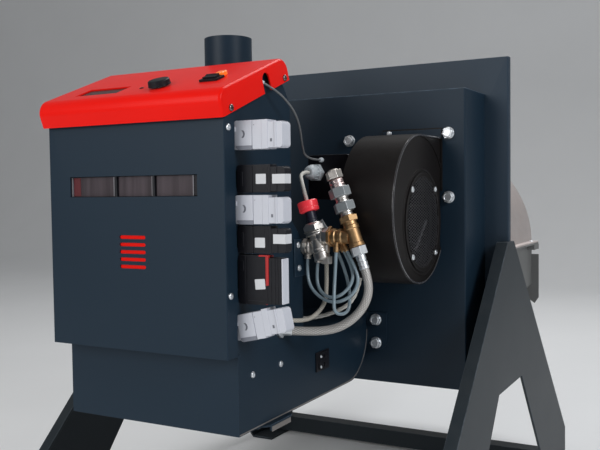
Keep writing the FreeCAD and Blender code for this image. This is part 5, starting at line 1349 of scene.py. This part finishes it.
def makeHems():
    # the thin bare lower edge of the housing on each side, its light colour partly a painted reflection, and
    # the bright face of the slide's pull
    bottom, corner, height = (hem[key] for key in ("bottom", "corner", "height"))
    line = [(hem["front"], bottom), *arc((hem["back"] - corner, bottom + corner), corner, -90, 90, 12)]
    strips = bmesh.new()
    for side in (-1, 1):
        x0, x1 = side * (hem["side"] - 0.2), side * (hem["side"] + 0.35)
        bandInto(strips, line, [(x0, 0), (x1, 0), (x1, height), (x0, height)])
    finishPiece("housingHems", strips, "hemSteel", edge=0.15)
    boxPiece("slidePullFace", "hemSteel", [hem["grip"]], body=nodeBody["clean_out_slide"], edge=0.15)


makeHems()
print("hems ready")

fasteners = {
    "screwRadius": 3.6, "screwHeight": 2.2, "crossHalf": 0.36, "crossReach": 1.75, "crossDepth": 1.1,
    "washerRadius": 8.0, "washerHeight": 1.6, "boltFlats": 13.0, "boltHeight": 5.5, "spinSeed": 4,
}


def screwHead():
    # a pan head with a cross recess, standing on Z = 0
    bm = bmesh.new()
    radius, height = fasteners["screwRadius"], fasteners["screwHeight"]
    rings = []
    for share in (1.0, 1.0, 0.93, 0.75, 0.58, 0.42, 0.3, 0.16):
        dome = height * (0.45 + 0.55 * math.sqrt(max(0.0, 1 - share * share))) if rings else 0.0
        ring = []
        for x, y in arc((0, 0), radius * share, 0, 360, 32)[:-1]:
            near, far = sorted((abs(x), abs(y)))
            sunk = near < fasteners["crossHalf"] and far < fasteners["crossReach"]
            ring.append((x, y, dome - fasteners["crossDepth"] if sunk else dome))
        rings.append(ring)
    ringsInto(bm, rings)
    return bm


def boltHead():
    # a hexagon head on its washer, standing on Z = 0
    bm = bmesh.new()
    wr, wh = fasteners["washerRadius"], fasteners["washerHeight"]
    turnInto(bm, [(wr - 0.3, 0), (wr, 0.3), (wr, wh - 0.3), (wr - 0.4, wh)], steps=32)
    hexInto(bm, (0, 0, wh), (0, 0, 1), fasteners["boltFlats"], fasteners["boltHeight"] - 0.9)
    top = wh + fasteners["boltHeight"]
    crown = [(0, top - 2.4), (6.4, top - 1.5), (6.3, top - 0.5), (5.6, top), (4.6, top), (4.2, top - 0.4),
             (0, top - 0.4)]
    turnInto(bm, crown, steps=28)
    return bm


def makeHeads():
    heads = {}
    for name, bm in (("screwHead", screwHead()), ("boltHead", boltHead())):
        bmesh.ops.recalc_face_normals(bm, faces=bm.faces)
        bmesh.ops.scale(bm, vec=(0.001, 0.001, 0.001), verts=bm.verts)
        heads[name] = putInScene(name, edgedMesh(name, meshFrom(name + "Drawn", bm), 0.0002, 1, 40))
    return heads


def makeFastenerTree():
    # sets one head on every point, along its outward vector, each turned by chance about its own axis
    tree, given, result = newGroup("fastenerRow", [
        ("Geometry", "Geometry", None), ("Head", "Object", None), ("Size", "Float", 1.0),
        ("Spin Seed", "Int", fasteners["spinSeed"]), ("Finish", "Material", None)],
        [("Geometry", "Geometry")], "GeometryNodeTree")
    outward = addNode(tree, "GeometryNodeInputNamedAttribute", {"Name": "outward"}, data_type="FLOAT_VECTOR")
    aligned = addNode(tree, "FunctionNodeAlignRotationToVector", {"Vector": outward.outputs[0]}, axis="Z")
    spin = addNode(tree, "FunctionNodeRandomValue", {"Min": 0.0, "Max": math.tau, "Seed": given["Spin Seed"]},
                   data_type="FLOAT")
    spinValue = [socket for socket in spin.outputs if socket.type == "VALUE"][0]
    about = addNode(tree, "FunctionNodeAxisAngleToRotation", {"Axis": (0.0, 0.0, 1.0), "Angle": spinValue})
    turned = addNode(tree, "FunctionNodeRotateRotation",
                     {"Rotation": aligned.outputs[0], "Rotate By": about.outputs[0]}, rotation_space="LOCAL")
    head = addNode(tree, "GeometryNodeObjectInfo", {"Object": given["Head"]})
    placed = addNode(tree, "GeometryNodeInstanceOnPoints", {"Points": given["Geometry"],
                                                            "Instance": head.outputs["Geometry"],
                                                            "Rotation": turned.outputs[0],
                                                            "Scale": given["Size"]})
    paintedInto(tree, placed, given, result)
    return tree


# spots in millimetres, the lid's worked out from their distance up its slope
lidScrewSpots = [(lidFrame @ Vector((0.0, upSlope, 5.0))).yz for upSlope in (16.0, 133.0)]
# rows for both sides: kind, distance from the middle, direction or None for outward, (y, z) of each spot
pairedSpots = (
    ("screws", 120.0, None, ((7.0, 64.7), (7.0, 235.7))),
    ("lidScrews", 124.0, None, lidScrewSpots),
    ("screws", 116.35, None, ((52.0, -25.5), (112.0, -25.5))),
    ("screws", 210.0, (0, 0, 1), ((520.0, 63.0), (660.0, 63.0), (800.0, 63.0), (940.0, 63.0))),
    ("bolts", 130.0, (0, -1, 0), ((354.0, -9.8), (354.0, -42.0))),
)
reach = 58.0 / math.sqrt(2)
guardSpots = [(225.0, fan["wheel"][0] + a * reach, fan["wheel"][1] + b * reach)
              for a in (-1, 1) for b in (-1, 1)]
# rows for one side: kind, direction, whole points
singleSpots = (
    ("screws", (1, 0, 0), ((119.0, 153.5, 79.9), (119.0, 151.5, 107.0), *guardSpots)),
    ("screws", (0, -1, 0), ((152.0, 354.0, 246.0),)),
    ("inletScrews", (1, 0, 0), ((119.8, 205.5, -34.6), (119.8, 205.5, -47.4))),
    ("bolts", (0, -1, 0), ((91.3, 357.0, 238.8), (234.5, 357.0, 243.8), (234.5, 357.0, 159.5),
                           (91.3, 357.0, 159.5))),
)


def fastenerSpots():
    spots = {"screws": [], "lidScrews": [], "inletScrews": [], "bolts": []}
    for side in (-1, 1):
        for kind, x, direction, places in pairedSpots:
            spots[kind] += [((side * x, y, z), direction or (side, 0, 0)) for y, z in places]
    for kind, direction, places in singleSpots:
        spots[kind] += [(place, direction) for place in places]
    return spots


def makeFasteners():
    heads = makeHeads()
    tree = makeFastenerTree()
    allSpots = fastenerSpots()
    for kind, name, head, scale, finish, node in (
            ("screws", "screwHeads", "screwHead", 1.0, "zinc", "panel_screws"),
            ("lidScrews", "lidScrewHeads", "screwHead", 1.0, "darkScrew", "panel_screws"),
            ("inletScrews", "inletScrewHeads", "screwHead", 0.55, "zinc", "power_inlet"),
            ("bolts", "boltHeads", "boltHead", 1.0, "zinc", "flange_bolts")):
        spots = allSpots[kind]
        start = bpy.data.meshes.new(name + "Spots")
        start.from_pydata([toRow @ Vector(at) for at, outward in spots], [], [])
        outward = start.attributes.new("outward", "FLOAT_VECTOR", "POINT")
        outward.data.foreach_set("vector", [float(c) for at, direction in spots for c in direction])
        mesh = grownMesh(name, tree, start, {"Head": heads[head], "Size": scale, "Finish": finishes[finish],
                                             "Spin Seed": fasteners["spinSeed"]})
        addPiece(name, mesh, "burner", [node])
        print(name, len(spots), "faces", len(mesh.polygons))
    for item in heads.values():
        bpy.data.objects.remove(item)


makeFasteners()
